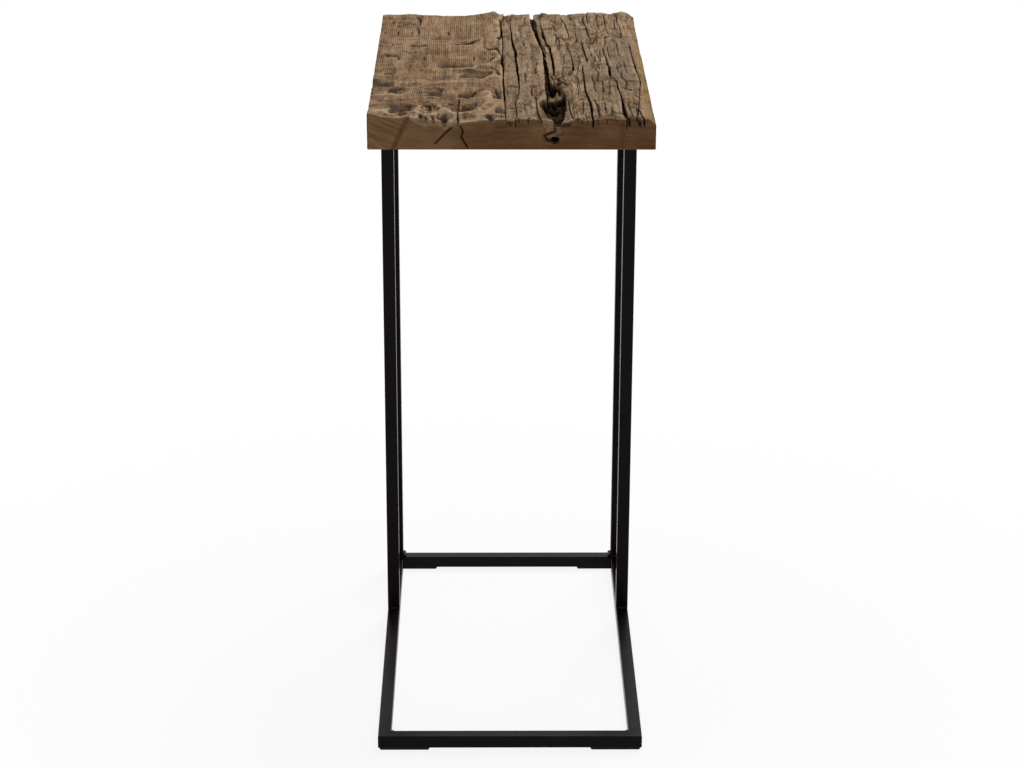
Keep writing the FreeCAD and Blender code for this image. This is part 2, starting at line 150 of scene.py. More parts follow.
# Swells of the whole top and of its left part: middle across and along, reach across and along,
# and height
swells = ((-133, -194, 15, 24, 5.6), (80, slab_back, 45, 22, 2.0), (119, slab_back, 6.5, 14, 3.4))
left_swells = ((-15, slab_back, 13, 22, 2.2), (-55, -190, 20, 8, -2.6))
back_lift = 0.9
back_lift_reach = 26
back_rise_reach = 16

# Scoops weathered into the top: left, right, near end, far end, depth, how much the near end
# narrows, and how far it leans to the right going back
scoops = (
    (-81, -58, 113, 133, 1.6, 0.2, 0), (-56, -30, 88, 112, 3.6, 0.5, 0.7),
    (-26, -8, 64, 85, 3.6, 0.3, 0), (-76, -35, -7, 28, 4.4, 0.2, -0.3),
    (-49, -14, -47, -8, 4.8, 0.3, 0.3), (-105, -91, 12, 32, 1.8, 0.2, 0),
    (-119, -108, 88, 98, 1.4, 0.2, 0), (-126, -108, 38, 58, 2, 0.2, 0),
    (-102, -80, 80, 93, 1.5, 0.2, 0), (-118, -88, 160, 178, 1.6, 0.2, 0),
    (-78, -52, -52, -27, 1.6, 0.4, 0.2), (-137, -109, -82, -44, 5.6, 0.1, 0),
    (-116, -101, -108, -76, 4, 0.4, 0.2), (-84, -60, -112, -78, 4.4, 0.3, 0.1),
    (-51, -27, -122, -90, 4.6, 0.5, 0.4), (-19, -7, -127, -74, 3.4, 0.1, 0),
    (-118, -84, -178, -128, 6.4, 0.6, 0.2), (-82, -66, -126, -112, 2.4, 0.3, 0),
    (-58, -51, -150, -136, 2.2, 0.2, 0), (-48, -31, -172, -132, 4.8, 0.5, 0.3),
    (-16, -5, -176, -150, 3.2, 0.2, 0), (-24, -14, -194, -176, 2.6, 0.2, 0),
    (-2, 6, -174, -118, 0.9, 0, 0), (26, 31, 62, 74, 1.3, 0.1, 0), (44, 60, 2, -34, 1.2, 0.1, 0),
    (50, 98, -57, -28, 2.6, 0, 0), (73, 87, 90, 103, 1.4, 0, 0), (66, 71, 198, 206, 1.6, 0, 0),
    (81, 87, -186, -171, 1.5, 0.2, 0), (89, 96, -186, -170, 1.7, 0.2, 0),
    (110, 118, -196, -182, 2.4, 0.2, 0), (58, 72, -196, -180, 1.2, 0.2, 0),
)

# Ridges left standing between the scoops: width, height and points
ridges = (
    (4.5, 1.6, ((-130, -132), (-117, -153), (-101, -176), (-84, -180), (-69, -182))),
    (4, 2.2, ((-88, -176), (-80, -143), (-66, -152), (-60, -170))),
    (4.5, 2.4, ((-60, -172), (-50, -184), (-30, -168), (-21, -140), (-20, -104))),
    (3.6, 1.5, ((-28, -176), (-14, -156), (-11, -132))),
    (6, 1.6, ((-104, -66), (-78, -70), (-52, -62), (-24, -66))),
    (5, 1.4, ((-131, -38), (-112, -34), (-92, -42))),
    (4, 1.5, ((-126, -112), (-104, -114), (-92, -98))),
    (4, 1.3, ((-60, -84), (-54, -108), (-48, -128))),
    (5, 1.3, ((-80, -12), (-56, -20), (-40, -10), (-22, 4))),
    (2.4, 1.4, ((-118, -176), (-96, -190), (-88, -197))),
)

# Dark pits in the torn near end: middle across and along, reach across and along, and depth
pits = (
    (-80.5, -149, 2.4, 9, 3.2), (-75.5, -154, 2.2, 10, 3.4), (-71.5, -147, 2, 9, 3),
    (-77.5, -138, 2.2, 5, 2.4), (-66.5, -180, 2.6, 8, 4.2), (-61.5, -184, 3.4, 9, 4.6),
    (-83, -186, 2.6, 7, 4), (-78.5, -190, 2.6, 6, 3.6), (-71.5, -189, 1.8, 5, 3),
    (-55.5, -144, 1.8, 6, 2.2), (-32.5, -140, 1.8, 7, 2), (-20, -184, 3.4, 6, 2.4),
    (-84, 34, 1.3, 5, 1.4), (-117.5, 92, 1.6, 6, 1.6), (-92.5, 202, 1.4, 8, 1.6),
    (-53, 92, 1.8, 7, 2.4), (-10, 20, 2.6, 9, 2), (-13, -20, 2.2, 9, 2.2),
)

# How far the back edge stands above or below the rest: across and rise
back_rises = (
    (-132, 0.6), (-125, 1.2), (-119, 0.4), (-112, 0.6), (-106, 1.2), (-98, 1.4), (-90, -0.2),
    (-76, -0.2), (-68, -0.8), (-46, -0.9), (-36, 0.1), (-30, 0.7), (-17, 0.9), (-12, 0.2), (-7, -1),
    (0, 1.2), (8, 0), (18, 0.5), (30, 1.6), (37, 1.5), (43, -0.6), (60, -0.8), (66, -0.2),
    (74, 0.6), (96, 0.5), (101, 0.9), (108, 0), (113, 1), (122, 0.9), (132, 2),
)

# Darker and paler patches, painted shade and painted light on the relief together with weathered
# tone:
# middle across and along, reach across and along, and how much darker
shade_and_tone_patches = (
    (-51, -151, 8, 15, 0.64), (-54, -114, 7, 12, 0.28), (-22, -78, 8, 12, 0.34),
    (-8, -103, 4, 22, 0.36), (-99, -160, 9, 11, 0.55), (-99, -177, 7, 5, 0.6),
    (-131, -60, 4, 14, 0.35), (-131, -12, 3, 25, 0.22), (112, -187, 6, 7, 0.4),
    (30, -184, 4, 7, 0.26), (-30, -156, 6, 9, 0.26), (110, -181, 6, 8, 0.3), (30, -168, 4, 14, 0.5),
    (-39, -8, 5, 9, -0.22), (-9, -126, 3, 8, 0.24), (8, 108, 3, 10, 0.24), (27, 68, 3, 12, 0.24),
    (118, -176, 5, 12, -0.34), (-114, -150, 7, 9, 0.4), (-121, -84, 6, 11, 0.44),
    (-114, -148, 6, 9, 0.22), (-59, -90, 6, 8, 0.22), (-10, -8, 4, 9, 0.24), (2, -92, 5, 12, 0.16),
    (-79, -154, 5, 8, 0.15), (-127, -66, 6, 14, 0.25), (-109, -92, 7, 8, 0.15),
    (-87, -96, 6, 8, 0.15), (-7, -168, 3, 12, 0.25), (-116, -128, 5, 4, 0.1), (-34, 104, 7, 9, 0.2),
    (-54, 94, 6, 10, 0.22), (-12, 73, 4, 12, 0.26), (-9, 28, 3, 14, 0.2), (-36, 199, 12, 6, 0.12),
    (-44, 4, 5, 7, 0.15), (-18, -24, 6, 9, 0.15), (16, 4, 4, 12, 0.2), (5, -110, 6, 22, 0.26),
    (0, -43, 3, 10, 0.25), (11, -186, 8, 7, 0.25), (54, -122, 4, 15, 0.5), (98, -43, 5, 14, 0.36),
    (75, -57, 14, 5, 0.42), (95, -187, 24, 6, 0.36), (107, -152, 4, 18, 0.3),
    (88, -110, 8, 14, 0.12), (80, 111, 5, 12, 0.2), (106, 154, 4, 16, 0.16), (33, 212, 5, 9, 0.6),
    (-114, -114, 9, 9, -0.42), (-102, -114, 8, 8, -0.26), (-121, -166, 8, 14, -0.36),
    (-84, -177, 8, 8, -0.62), (-61, -174, 8, 10, -0.8), (-112, -179, 9, 7, -0.3),
    (-98, -197, 9, 7, -0.85), (42, -28, 4, 10, -0.55), (-52, -187, 8, 8, -0.32),
    (-41, -188, 8, 9, -0.6), (-25, -166, 6, 12, -0.22), (-70, -176, 4, 6, -0.22),
    (-52, -62, 9, 8, -0.28), (-80, -54, 14, 8, -0.16), (-47, 40, 13, 8, -0.3),
    (-14, 24, 5, 8, -0.16), (-13, 128, 6, 10, -0.22), (-100, 111, 10, 8, -0.18),
    (-95, 62, 7, 12, -0.18), (-96, 188, 9, 8, -0.14), (64, -78, 5, 14, -0.6),
    (53, -4, 6, 10, -0.32), (66, 103, 5, 12, -0.3), (46, 118, 5, 12, -0.22),
    (78, 172, 7, 12, -0.22), (40, 182, 6, 10, -0.22), (89, 28, 5, 14, -0.28),
    (112, 57, 5, 10, -0.22), (34, -192, 4, 6, -0.18),
)

# Checks, the narrow cracks that cross a strip: width, depth, and the points of each
checks = (
    (0.8, 1.6, (
        ((44, 176), (47.2, 162), (47.9, 144)), ((25.2, -3), (24.6, -25)),
        ((64.8, 217), (64.6, 197)), ((87.9, -53), (87.7, -100)), ((87.2, -133), (87.6, -173)),
        ((87.4, -132), (86.7, -160)), ((54.1, -125), (54.1, -157), (56.4, -188)),
        ((36.8, -32), (40.5, -27), (46, -33)), ((37.6, -48), (44, -44), (47, -50)),
    )),
    (0.7, 1.2, (
        ((48.5, 193), (48.5, 182)), ((14.2, -20), (14.8, -52)), ((15.6, 120), (14.6, 86)),
        ((12, -139), (15.2, -143)), ((90.2, 66), (89.6, 20)), ((110.6, 200), (110, 160)),
        ((108.2, 96), (109, 52)), ((112.6, 26), (113.2, -22)), ((94.2, -60), (93.6, -104)),
        ((64.4, -60), (64, -96)), ((67, -132), (66.4, -168)),
    )),
    (0.7, 1.4, (
        ((21.6, 43), (21.4, 31)), ((23.5, -133), (24, -160), (25, -192)), ((82, 217), (82.3, 183)),
        ((84.5, 43), (84.3, 22)), ((62.9, -115), (64.5, -121), (66.6, -115), (69.7, -121)),
        ((75, -128), (78.4, -125), (81.5, -128)), ((58.2, -173), (62, -169), (65.5, -175)),
        ((60.4, -190), (62.1, -194), (66.9, -188)),
    )),
    (0.8, 1.5, (
        ((26.6, 18), (26.2, 4)), ((22.4, -74), (20, -82), (19.6, -113)),
        ((67, 152), (68.5, 132), (68.7, 104)), ((83.4, -2), (85.6, -22), (84, -53)),
        ((117.2, -148), (116.4, -175)), ((94, 124), (88.9, 124), (84.9, 99)),
    )),
    (0.6, 1, (
        ((12.4, -140), (13.6, -171)), ((17, 205), (17.4, 172)),
    )),
    (0.8, 1.4, (((88.5, 130), (94.7, 112)),)),
    (0.7, 1.3, (
        ((81, -138), (81.3, -160)), ((98.4, 84), (98.6, 60), (100.4, 37)), ((105, 9), (105.2, -18)),
        ((109, -133), (109.3, -146)), ((87.5, -118), (91.6, -122)),
        ((91.5, -167), (93.4, -164), (95.1, -168)), ((115.1, -101), (120.4, -116)),
        ((118, -143), (121.4, -157)), ((18.5, -73), (24.3, -73)), ((53.2, 44), (53.6, 12)),
        ((50.2, 120), (51, 84)),
    )),
    (0.9, 1.6, (
        ((112, -145), (118, -154)), ((108.5, -75), (116, -94), (121, -104)),
        ((58.5, -13), (56, -30), (50, -35), (46, -48)),
    )),
    (1.1, 2, (((111, -184), (116, -190), (121, -197)),)),
    (1, 2, (((87.7, -182), (91, -178), (96.3, -182), (99.4, -184)),)),
    (0.8, 1.8, (
        ((109, -148), (115.8, -150), (115.1, -188)),
        ((109, -148), (110.9, -181), (115.5, -190)), ((24.1, -107), (29.6, -94), (31.6, -88)),
    )),
    (1, 2.2, (
        ((77.8, -128), (78.9, -136), (79.8, -148), (80.6, -164), (80.8, -182)),
        ((104.6, -157), (105.8, -178), (105.4, -195)),
    )),
    (1, 2.4, (((5.9, -188), (8.5, -197), (13.1, -194), (16.8, -188)),)),
    (0.9, 2.4, (((23.5, -114), (23.7, -160), (26, -185), (28.4, -198)),)),
    (0.9, 1.8, (
        ((62.5, 10), (61.9, -8), (58.4, -12), (57.1, -24), (49.2, -28)),
        ((38.6, -28), (41.2, -39), (42.7, -58)),
        ((45.6, -54), (49.9, -39), (51.1, -32), (54.9, -32)),
    )),
    (0.9, 2, (((-48.6, -132), (-48.9, -160), (-48.7, -192)),)),
    (0.9, 1.3, (
        ((-119, 198), (-119.2, 185)), ((-91.5, 202), (-91.6, 190)), ((-113, 148), (-112.8, 136)),
        ((-92.2, 152), (-92, 140)), ((-61.6, 145), (-61.4, 132)), ((-84.3, 39), (-84.2, 28)),
        ((-35, 41), (-35.2, 27)),
    )),
    (0.9, 1.2, (
        ((-115, 174), (-115, 166)), ((-126.6, 148), (-126.4, 140)), ((-99, 144), (-99, 137)),
        ((-117.6, 94), (-117.4, 84)), ((-110, 40), (-110, 31)),
    )),
    (0.9, 1.4, (((-111.6, -7), (-111.4, -26)),)),
    (0.8, 1.2, (((-4.8, 188), (-4.8, 179)),)),
    (1.5, 1.6, (((-54.5, 93), (-50, 95)),)),
    (1.1, 1.3, (((-47, 98), (-45, 99), (-37.5, 104)),)),
    (1.7, 1.8, (((-37.5, 105), (-30, 112)),)),
    (1.2, 1.2, (
        ((-115.6, 170), (-109.3, 176), (-103, 183), (-96.4, 180)),
        ((-124, 53), (-117.7, 44), (-111.7, 47), (-108.2, 37)),
        ((-73.7, 6), (-56.5, 0), (-41.8, -5), (-37, 4)),
        ((-36.4, -104), (-30.6, -93), (-24.7, -87), (-17.6, -90)),
        ((-86.3, -81), (-79, -86), (-72, -81), (-65, -88)),
    )),
    (1.1, 1, (
        ((-98, 88), (-91.6, 86), (-84, 88)), ((-107.8, 64), (-99.5, 57), (-92, 60)),
    )),
    (1.6, 1.4, (((-24.8, 77), (-17.3, 71), (-9.8, 76)),)),
    (1.1, 1.4, (
        ((-95.8, 208), (-90.3, 197), (-91.8, 180)), ((-94, 163), (-91.7, 147), (-92.7, 136)),
    )),
    (1.4, 1.6, (((-41.6, -43), (-30.8, -37), (-22.3, -25), (-17.5, -19)),)),
    (1.2, 1.1, (((-129, -24), (-114, -29), (-98, -33)),)),
    (1.2, 1.4, (((-20, 26), (-16, 35), (-12.4, 44)),)),
    (1.3, 1.5, (
        ((-18, -4), (-14.4, -10)), ((-14.6, -81), (-11.5, -109)), ((-11.5, 120), (-9, 108)),
    )),
    (1.5, 1.8, (((-12.6, -19), (-9.7, -33)),)),
    (1.2, 1.6, (((-13.6, 72), (-11, 64), (-8.7, 46)),)),
    (1.5, 2, (((-8.6, 191), (-7.8, 147), (-8.4, 120)),)),
)

# Lumps of torn wood in the main split: left, right, near end, far end and height
torn_lumps = (
    (42.6, 50.6, -96, -63, 10), (34.6, 43, -106, -67, 8), (26, 32, -142, -124, 7),
    (49.4, 53.4, -152, -108, 6), (48.6, 53.4, -190, -158, 7),
)

# Painted highlights and painted shade on the torn wood in the main split: middle across and along,
# reach across and along, and how much darker
torn_highlights_and_shade = (
    (46.4, -80, 3.8, 9, -1.6), (38.8, -88, 4.2, 14, -0.55), (47.4, -94, 3.6, 3, 0.8),
    (42, -111, 6, 5, 0.6), (41, -124, 7, 14, 0.55), (41.6, -146, 5, 13, 0.45),
    (42.5, -61, 9, 4, 0.75), (35, -68, 3, 10, 0.5), (29.4, -125, 3.4, 6, 0.3),
    (52.4, -105, 2.4, 20, 0.4), (50.6, -150, 2.4, 12, -0.2),
)

# Shoulders torn off beside the near end of the split: where each starts and ends along, its edge
# by the split and its far edge across, and its drop by the split
shoulders = (
    (-150, -186, 35.4, 25, 2.8), (-164, -188, 43.4, 57, 2.4),
)

# Splinters lying across the split: radius, then points across, along and below the top
splinters = (
    (0.55, ((32.4, 100, 1.5), (35.4, 62, 3), (38, 26, 2))),
    (0.4, ((33.6, 92, 3), (36, 66, 3.5), (37.6, 48, 2.5))),
    (0.4, ((33, 54, 2.5), (35.6, 42, 3), (38.2, 30, 2))),
    (0.6, ((33.6, 158, 2.5), (33.6, 140, 3), (32, 122, 2.5))),
    (0.45, ((31, 168, 3), (33.2, 150, 3.5), (34.6, 136, 2))),
    (0.4, ((27, 190, 3), (28.4, 172, 4), (29.8, 158, 2))),
)
fibre_radius = 0.34

# Blocks that weathering has split the wood right of the left fissure into
block_width = 8.0
block_length = 74.0
block_step = 0.75
block_crack_depth = 1.8
crumbled = (35.0, 53.0, -74.0, -16.0)

# Wear of the lips beside fissures, how far a fissure stays above the slab's base, how much hollows
# and slopes count towards a place's painted shade and light, and how much grey counts towards its
# darkness
lip_wear = 0.5
lip_wear_reach = 0.9
least_thickness = 3.0
wide_hollow_weight = 0.12
narrow_hollow_weight = 0.16
slope_weight = 0.40
back_slope_weight = 0.7
grey_weight = 0.36

# Where relief and shade change over, in millimetres: each pair runs from none to all of it
calm_back = (slab_back - 16, slab_back - 4)
closed_back = (slab_back - 14, slab_back - 3)
top_clearance = 0.3
shaded_depth = 5
left_ledges = (-84, -98)
left_border = (-26, -9)
left_border_back = (-120, 90)
softer_right = (-7, -5)
left_edge_wavers = (-60, -110)
right_edge_straight = -95
right_edge_reach = 35
far_wall_start = (-90, -76)
torn_shade_start = (-48, -54)
lit_end_start = (-172, -184)

# Depths in millimetres over which lips wear and cracks are painted darker as shade, widths over
# which the split counts as open and as torn, and drops over which cracks, shade and torn wood fade
# down the slab's edge
worn_depth = (0.5, 4)
dark_depth = (0.3, 5.5)
split_dark_depth = (3, 12)
split_open_gap = (4, 10)
split_torn_gap = (5, 12)
crack_fade = (0.4, 4.5)
shade_fade = (0.5, 3)
torn_fade = (1, 4)
sharp_angle = 58

# Marks left on the slab's edge by the saw, and the rough part of the front edge from left to right
saw_mark_depth = 0.16
rough_edge_left = (-94, -86)
rough_edge_right = (-52, -44)

# Broken places on the front face: middle across, height above the base, reach across, reach up,
# how far they lie back and how much painted shade darkens their recess
front_chips = (
    (34.4, 24, 5.8, 7, 2.2, 0), (31, 10.5, 3.4, 2.6, 1.4, 0), (39.4, 9.2, 3.6, 2.5, 7, 1),
    (43.4, 18.4, 3, 6.5, 1.4, 0), (49.6, 25, 4.2, 3.8, 3, 0.25), (-58, 27.5, 9, 3, 1.6, 0),
    (-84, 28.5, 6, 2.5, 1.4, 0), (-20, 28, 5, 2.2, 1, 0),
)

# Torn facets on the front face: middle across, height above the base, reach across, reach up,
# how far it leans to the right going up, and how light it is
front_facets = (
    (36.8, 13.6, 6, 3.6, 0.35, 0.55), (33.4, 23.5, 5.4, 8.6, -0.26, 1),
    (43.2, 21.5, 3.9, 8.4, 0.1, 0.62), (51.4, 26, 4.2, 3.4, 0, 0.05),
)

# Cracks on the front face: width, then points across and up from the base
front_cracks = (
    (0.8, ((-48.8, 28), (-55, 20.5), (-62, 14.1), (-69.3, 6.3))),
    (0.7, ((-48.8, 27), (-44.2, 17.5), (-46, 12.4), (-40, 2.3))),
    (0.8, ((29.4, 13.4), (34, 15), (39.8, 17.6))),
    (0.9, ((30.2, 13.6), (32, 9.6), (35, 8))),
    (0.45, ((40.8, 24.6), (39.9, 17.6))),
    (0.35, ((-5.9, 31), (-0.5, 22.5))),
    (0.35, ((3.6, 29), (4, 21))),
    (0.45, ((74.2, 29), (74, 21.5))),
    (0.35, ((78.8, 28.5), (79.2, 23.5))),
    (0.35, ((87, 28.5), (87.2, 24.5))),
    (0.5, ((105.2, 29), (105, 20))),
    (0.4, ((117, 28), (118, 21))),
)


# Noise for weathered timber

def lattice_noise(x, y, seed):
    """Smooth values from -1 to 1 between random ones on a square lattice."""
    size = 256
    values = np.random.default_rng(seed).random((size, size)) * 2 - 1
    column = np.floor(x).astype(int)
    row = np.floor(y).astype(int)
    across = x - column
    along = y - row
    across = across * across * (3 - 2 * across)
    along = along * along * (3 - 2 * along)

    def corner(i, j):
        return values[(column + i) % size, (row + j) % size]

    near = corner(0, 0) * (1 - across) + corner(1, 0) * across
    far = corner(0, 1) * (1 - across) + corner(1, 1) * across
    return near * (1 - along) + far * along


def drift(x, y, seed, octaves=3):
    """Noise of several sizes, each half as wide and half as strong as the one before."""
    total = 0.0
    strength = 1.0
    turn = 0.5
    for octave in range(octaves):
        total = total + lattice_noise(x, y, seed + octave) * strength
        turned = x * math.cos(turn) - y * math.sin(turn)
        y = (x * math.sin(turn) + y * math.cos(turn)) * 2 + 5.2
        x = turned * 2 + 1.7
        strength /= 2
    return total / (2 - 2 * strength)


def ease(value, start, end):
    """From 0 at start to 1 at end, level at both."""
    share = np.clip((value - start) / (end - start), 0, 1)
    return share * share * (3 - 2 * share)


def hump(value, middle, reach):
    """1 at the middle, falling to 0 at reach on both sides of it."""
    return np.clip(1 - ((value - middle) / reach) ** 2, 0, 1)


def away_from(x, y, middle, along, reach, stretch):
    """0 at the middle of an oval, 1 at its edge and more outside."""
    return ((x - middle) / reach) ** 2 + ((y - along) / stretch) ** 2


def shelves(height, count):
    """Turns a smooth field into shelves with short steps between them, as torn grain has."""
    scaled = height * count
    floor = np.floor(scaled)
    return (floor + ease(scaled - floor, 0.68, 1.0)) / count


# Slab of old timber

def lips_at(rows, y, seed):
    """Left lip, right lip and depth of a fissure at each row of the mesh, with torn edges."""
    along, left, right, depth = (np.array(values, float) for values in zip(*rows))
    left = np.interp(y, along, left)
    right = np.interp(y, along, right)
    depth = np.interp(y, along, depth)
    loose = ease(depth, 0.4, 3.0)
    zero = np.zeros_like(y)
    bend = drift(y / 21, zero, seed, 2) * 0.15
    step = shelves(drift(y / 13, zero + 9, seed, 2), 3) * 0.30
    left = left + (bend + step + drift(y / 4, zero + 3, seed, 3) * 0.40) * loose
    right = right + (bend + step + drift(y / 4, zero + 7, seed, 3) * 0.40) * loose
    right = np.maximum(right, left + 0.25)
    depth = depth * (1 + 0.3 * drift(y / 9, zero + 5, seed, 2))
    return left, right, depth


def scoop_field(x, y):
    """Depth of all scoops, and how grey each place in them is, grey weathering and painted shade of
    the hollow together.
    """
    x = x + 3.2 * drift(x / 14, y / 14, 21)
    y = y + 3.6 * drift(x / 12, y / 16, 31)
    depth = np.zeros_like(x)
    grey = np.zeros_like(x)
    for left, right, near, far, deep, narrowing, lean in scoops:
        share = (far - y) / (far - near)
        middle = (left + right) / 2 + lean * (y - (near + far) / 2)
        reach = (right - left) / 2 * (1 - narrowing * np.clip(share, 0, 1))
        across = hump(x, middle, reach)
        fall = ease(share, 0.0, 0.80) * (1 - ease(share, 0.84, 1.0))
        ridge = np.exp(-((share - 1.10) / 0.14) ** 2) * 0.20
        depth += deep * across ** 0.8 * (fall - ridge)
        grey = np.maximum(grey, across ** 0.6 * fall * min(1, deep / 3))
    for *oval, deep in pits:
        depth += 0.6 * deep * ease(1.15 - away_from(x, y, *oval), 0, 1)
    return depth, grey


def ridge_field(x, y):
    """Height of the ridges between the scoops."""
    x = x + 2.2 * drift(x / 9, y / 12, 23, 3)
    y = y + 3.2 * drift(x / 10, y / 14, 24, 3)
    height = np.zeros_like(x)
    for width, rise, points in ridges:
        height += rise * np.exp(-(distance_to(points, x, y) / width) ** 2)
    return height


def pit_field(x, y):
    """How far each place lies inside a dark pit."""
    x = x + 1.4 * drift(x / 3, y / 8, 25, 2)
    y = y + 2.0 * drift(x / 4, y / 9, 27, 2)
    inside = np.zeros_like(x)
    for *oval, deep in pits:
        within = ease(1.1 - away_from(x, y, *oval), 0, 0.7)
        inside = np.maximum(inside, within * min(1, deep / 3))
    return inside


def spot_field(spots, x, y):
    """Sum of spots of a given strength, each fading out around its middle."""
    total = np.zeros_like(x)
    for *oval, strength in spots:
        total += strength * np.exp(-away_from(x, y, *oval))
    return total


def patch_shade_and_tone(x, y):
    """How much darker each place is painted than its height tells: painted shade and light on the
    relief, and weathered tone.
    """
    x = x + 2.4 * drift(x / 8, y / 14, 811, 3)
    y = y + 3.6 * drift(x / 9, y / 14, 821, 3)
    return spot_field(shade_and_tone_patches, x, y)


def crumb_share(x, y):
    """How far each place lies in the crumbled wood behind the hole."""
    left, right, near, far = crumbled
    return (ease(x, left - 2, left + 2) * (1 - ease(x, right - 3, right + 3))
            * ease(y, near - 2, near + 3) * (1 - ease(y, far - 8, far + 4)))


def distance_to(points, x, y):
    """Distance from each place to a line through points."""
    best = np.full_like(x, 1e6)
    for (x0, y0), (x1, y1) in zip(points, points[1:]):
        run_x, run_y = x1 - x0, y1 - y0
        share = ((x - x0) * run_x + (y - y0) * run_y) / (run_x ** 2 + run_y ** 2)
        share = np.clip(share, 0, 1)
        best = np.minimum(best, np.hypot(x - x0 - run_x * share, y - y0 - run_y * share))
    return best


def check_field(x, y):
    """Depth of all checks, and how open each place in them is."""
    x = x + 0.5 * drift(x / 30, y / 7, 41)
    depth = np.zeros_like(x)
    open_share = np.zeros_like(x)
    for width, deep, lines in checks:
        for points in lines:
            places = np.array(points, float)
            low = places.min(0) - 3 * width
            high = places.max(0) + 3 * width
            near = (x > low[0]) & (x < high[0]) & (y > low[1]) & (y < high[1])
            spread = np.exp(-(distance_to(points, x[near], y[near]) / (width * 0.62)) ** 2)
            depth[near] = np.maximum(depth[near], deep * spread)
            open_share[near] = np.maximum(open_share[near], spread)
    return depth, open_share


def block_field(part, y, strip):
    """Distances to the lines beside and at the ends of blocks, a random level for each block, and
    the number of the nearest line beside it."""
    size = 64
    no_line = 9.0
    values = np.random.default_rng(700 + strip).random((size, size))
    width = strip_widths[strip]
    count = max(1, round(width / block_width))
    x = part * width
    x = x + 0.25 * drift(x / 5, y / 6, 710 + strip, 3)
    x = x + 0.6 * shelves(drift(x / 30, y / 17, 720, 2), 4)
    place = np.clip(x / width * count, 0.001, count - 0.001)
    edges = np.arange(count + 1) + 0.5 * (values[:count + 1, 0] - 0.5)
    edges[0], edges[-1] = 0, count
    column = np.searchsorted(edges, place) - 1
    beside = np.minimum(place - edges[column], edges[column + 1] - place) * width / count
    inner = np.where(place - edges[column] < edges[column + 1] - place, column, column + 1)
    beside = np.where((inner == 0) | (inner == count), no_line, beside)
    wander = y + 1.8 * drift(x / 3.2, y / 30, 730 + strip, 3) + 4 * drift(x / 9, y / 60, 740, 1)
    along = wander / block_length + values[column, 1]
    row = np.floor(along).astype(int)
    split_at = 0.5 + 0.5 * (values[column, row % size] - 0.5)
    over = along - row
    upper = over > split_at
    ends = np.minimum(np.minimum(over, 1 - over), np.abs(over - split_at)) * block_length
    cell = values[column, (row * 2 + upper) % size]
    return beside, ends, (cell * 13 % 1 - 0.5) * 2, inner


def left_relief(x, y, nearness):
    """Relief of the weathered waves and ledges left of the left fissure."""
    bend_x = x + 5.0 * drift(x / 24, y / 24, 62, 2)
    bend_y = y + 6.0 * drift(x / 22, y / 24, 63, 2)
    waves = 0.32 - np.abs(drift(bend_x / 42 + y / 90, bend_y / 19, 61, 2))
    level = (0.3 + 1.3 * nearness) * waves * 2.2
    level += shelves(drift(bend_x / 26, bend_y / 13, 65, 3), 3) * (0.25 + 1.0 * nearness)
    level += ridge_field(x, y)
    level += shelves(drift(x / 26, y / 8, 67, 2), 3) * ease(x, *left_ledges) * 0.9
    level += drift(x / 2.0, y / 34, 71, 2) * 0.30
    level += drift(x / 5, y / 6, 73, 3) * (0.12 + 0.6 * nearness)
    border = ease(x, *left_border) * ease(y, *left_border_back)
    ragged = shelves(drift(x / 5, y / 9, 75, 3), 3)
    return level + border * 1.2 + ragged * border * 2.4


def block_relief(x, y, strip, part, calm):
    """Relief of the split blocks right of the left fissure, and their cracks."""
    beside, ends, block, inner = block_field(part, y, strip)
    right_part = strip > 2
    open_side = ease(drift(y / 38, inner * 3.7, 750 + strip, 2), -0.15, 0.35)
    open_end = ease(drift(x / 9, y / 30, 760, 2), -0.10, 0.35)
    side = np.exp(-(beside / 0.48) ** 2) * open_side * (0.45 + 0.55 * right_part)
    end = np.exp(-(ends / 1.4) ** 2) * open_end * 0.7
    gap = np.maximum(side, end)
    wood = 1.0 if right_part else 0.6
    level = -gap * block_crack_depth * wood + block * block_step * wood * calm
    loose = crumb_share(x, y)
    calm = calm * (1 - 0.8 * loose)
    level += shelves(drift(x / 5, y / 60, 77, 3), 3) * 0.8 * calm
    level += drift(x / 1.8, y / 44, 81, 3) * 0.45 * calm
    level += drift(x / 12, y / 26, 770, 2) * 0.7 * calm
    level += drift(x / 2.4, y / 6, 95, 2) * 0.16
    torn_off = ease(drift(x / 14, y / 22, 785, 2), 0.10, 0.40)
    chip = ease(np.abs(drift(x / 4, y / 9, 780, 3)), 0.10, 0.02) * torn_off
    level -= chip * 0.8
    crumbs = drift(x / 4.6 + 0.3 * drift(x / 3, y / 5, 98, 2), y / 9.0, 97, 4)
    level -= loose * (1.8 - 3.6 * shelves(crumbs, 4))
    crumbs = np.abs(crumbs * 4 - np.round(crumbs * 4))
    gap = gap * (1 - 0.7 * loose)
    crack = np.maximum(gap * 0.62, loose * ease(0.14 - crumbs, 0, 0.10) * 0.9)
    return level, np.maximum(crack, chip * 0.45)


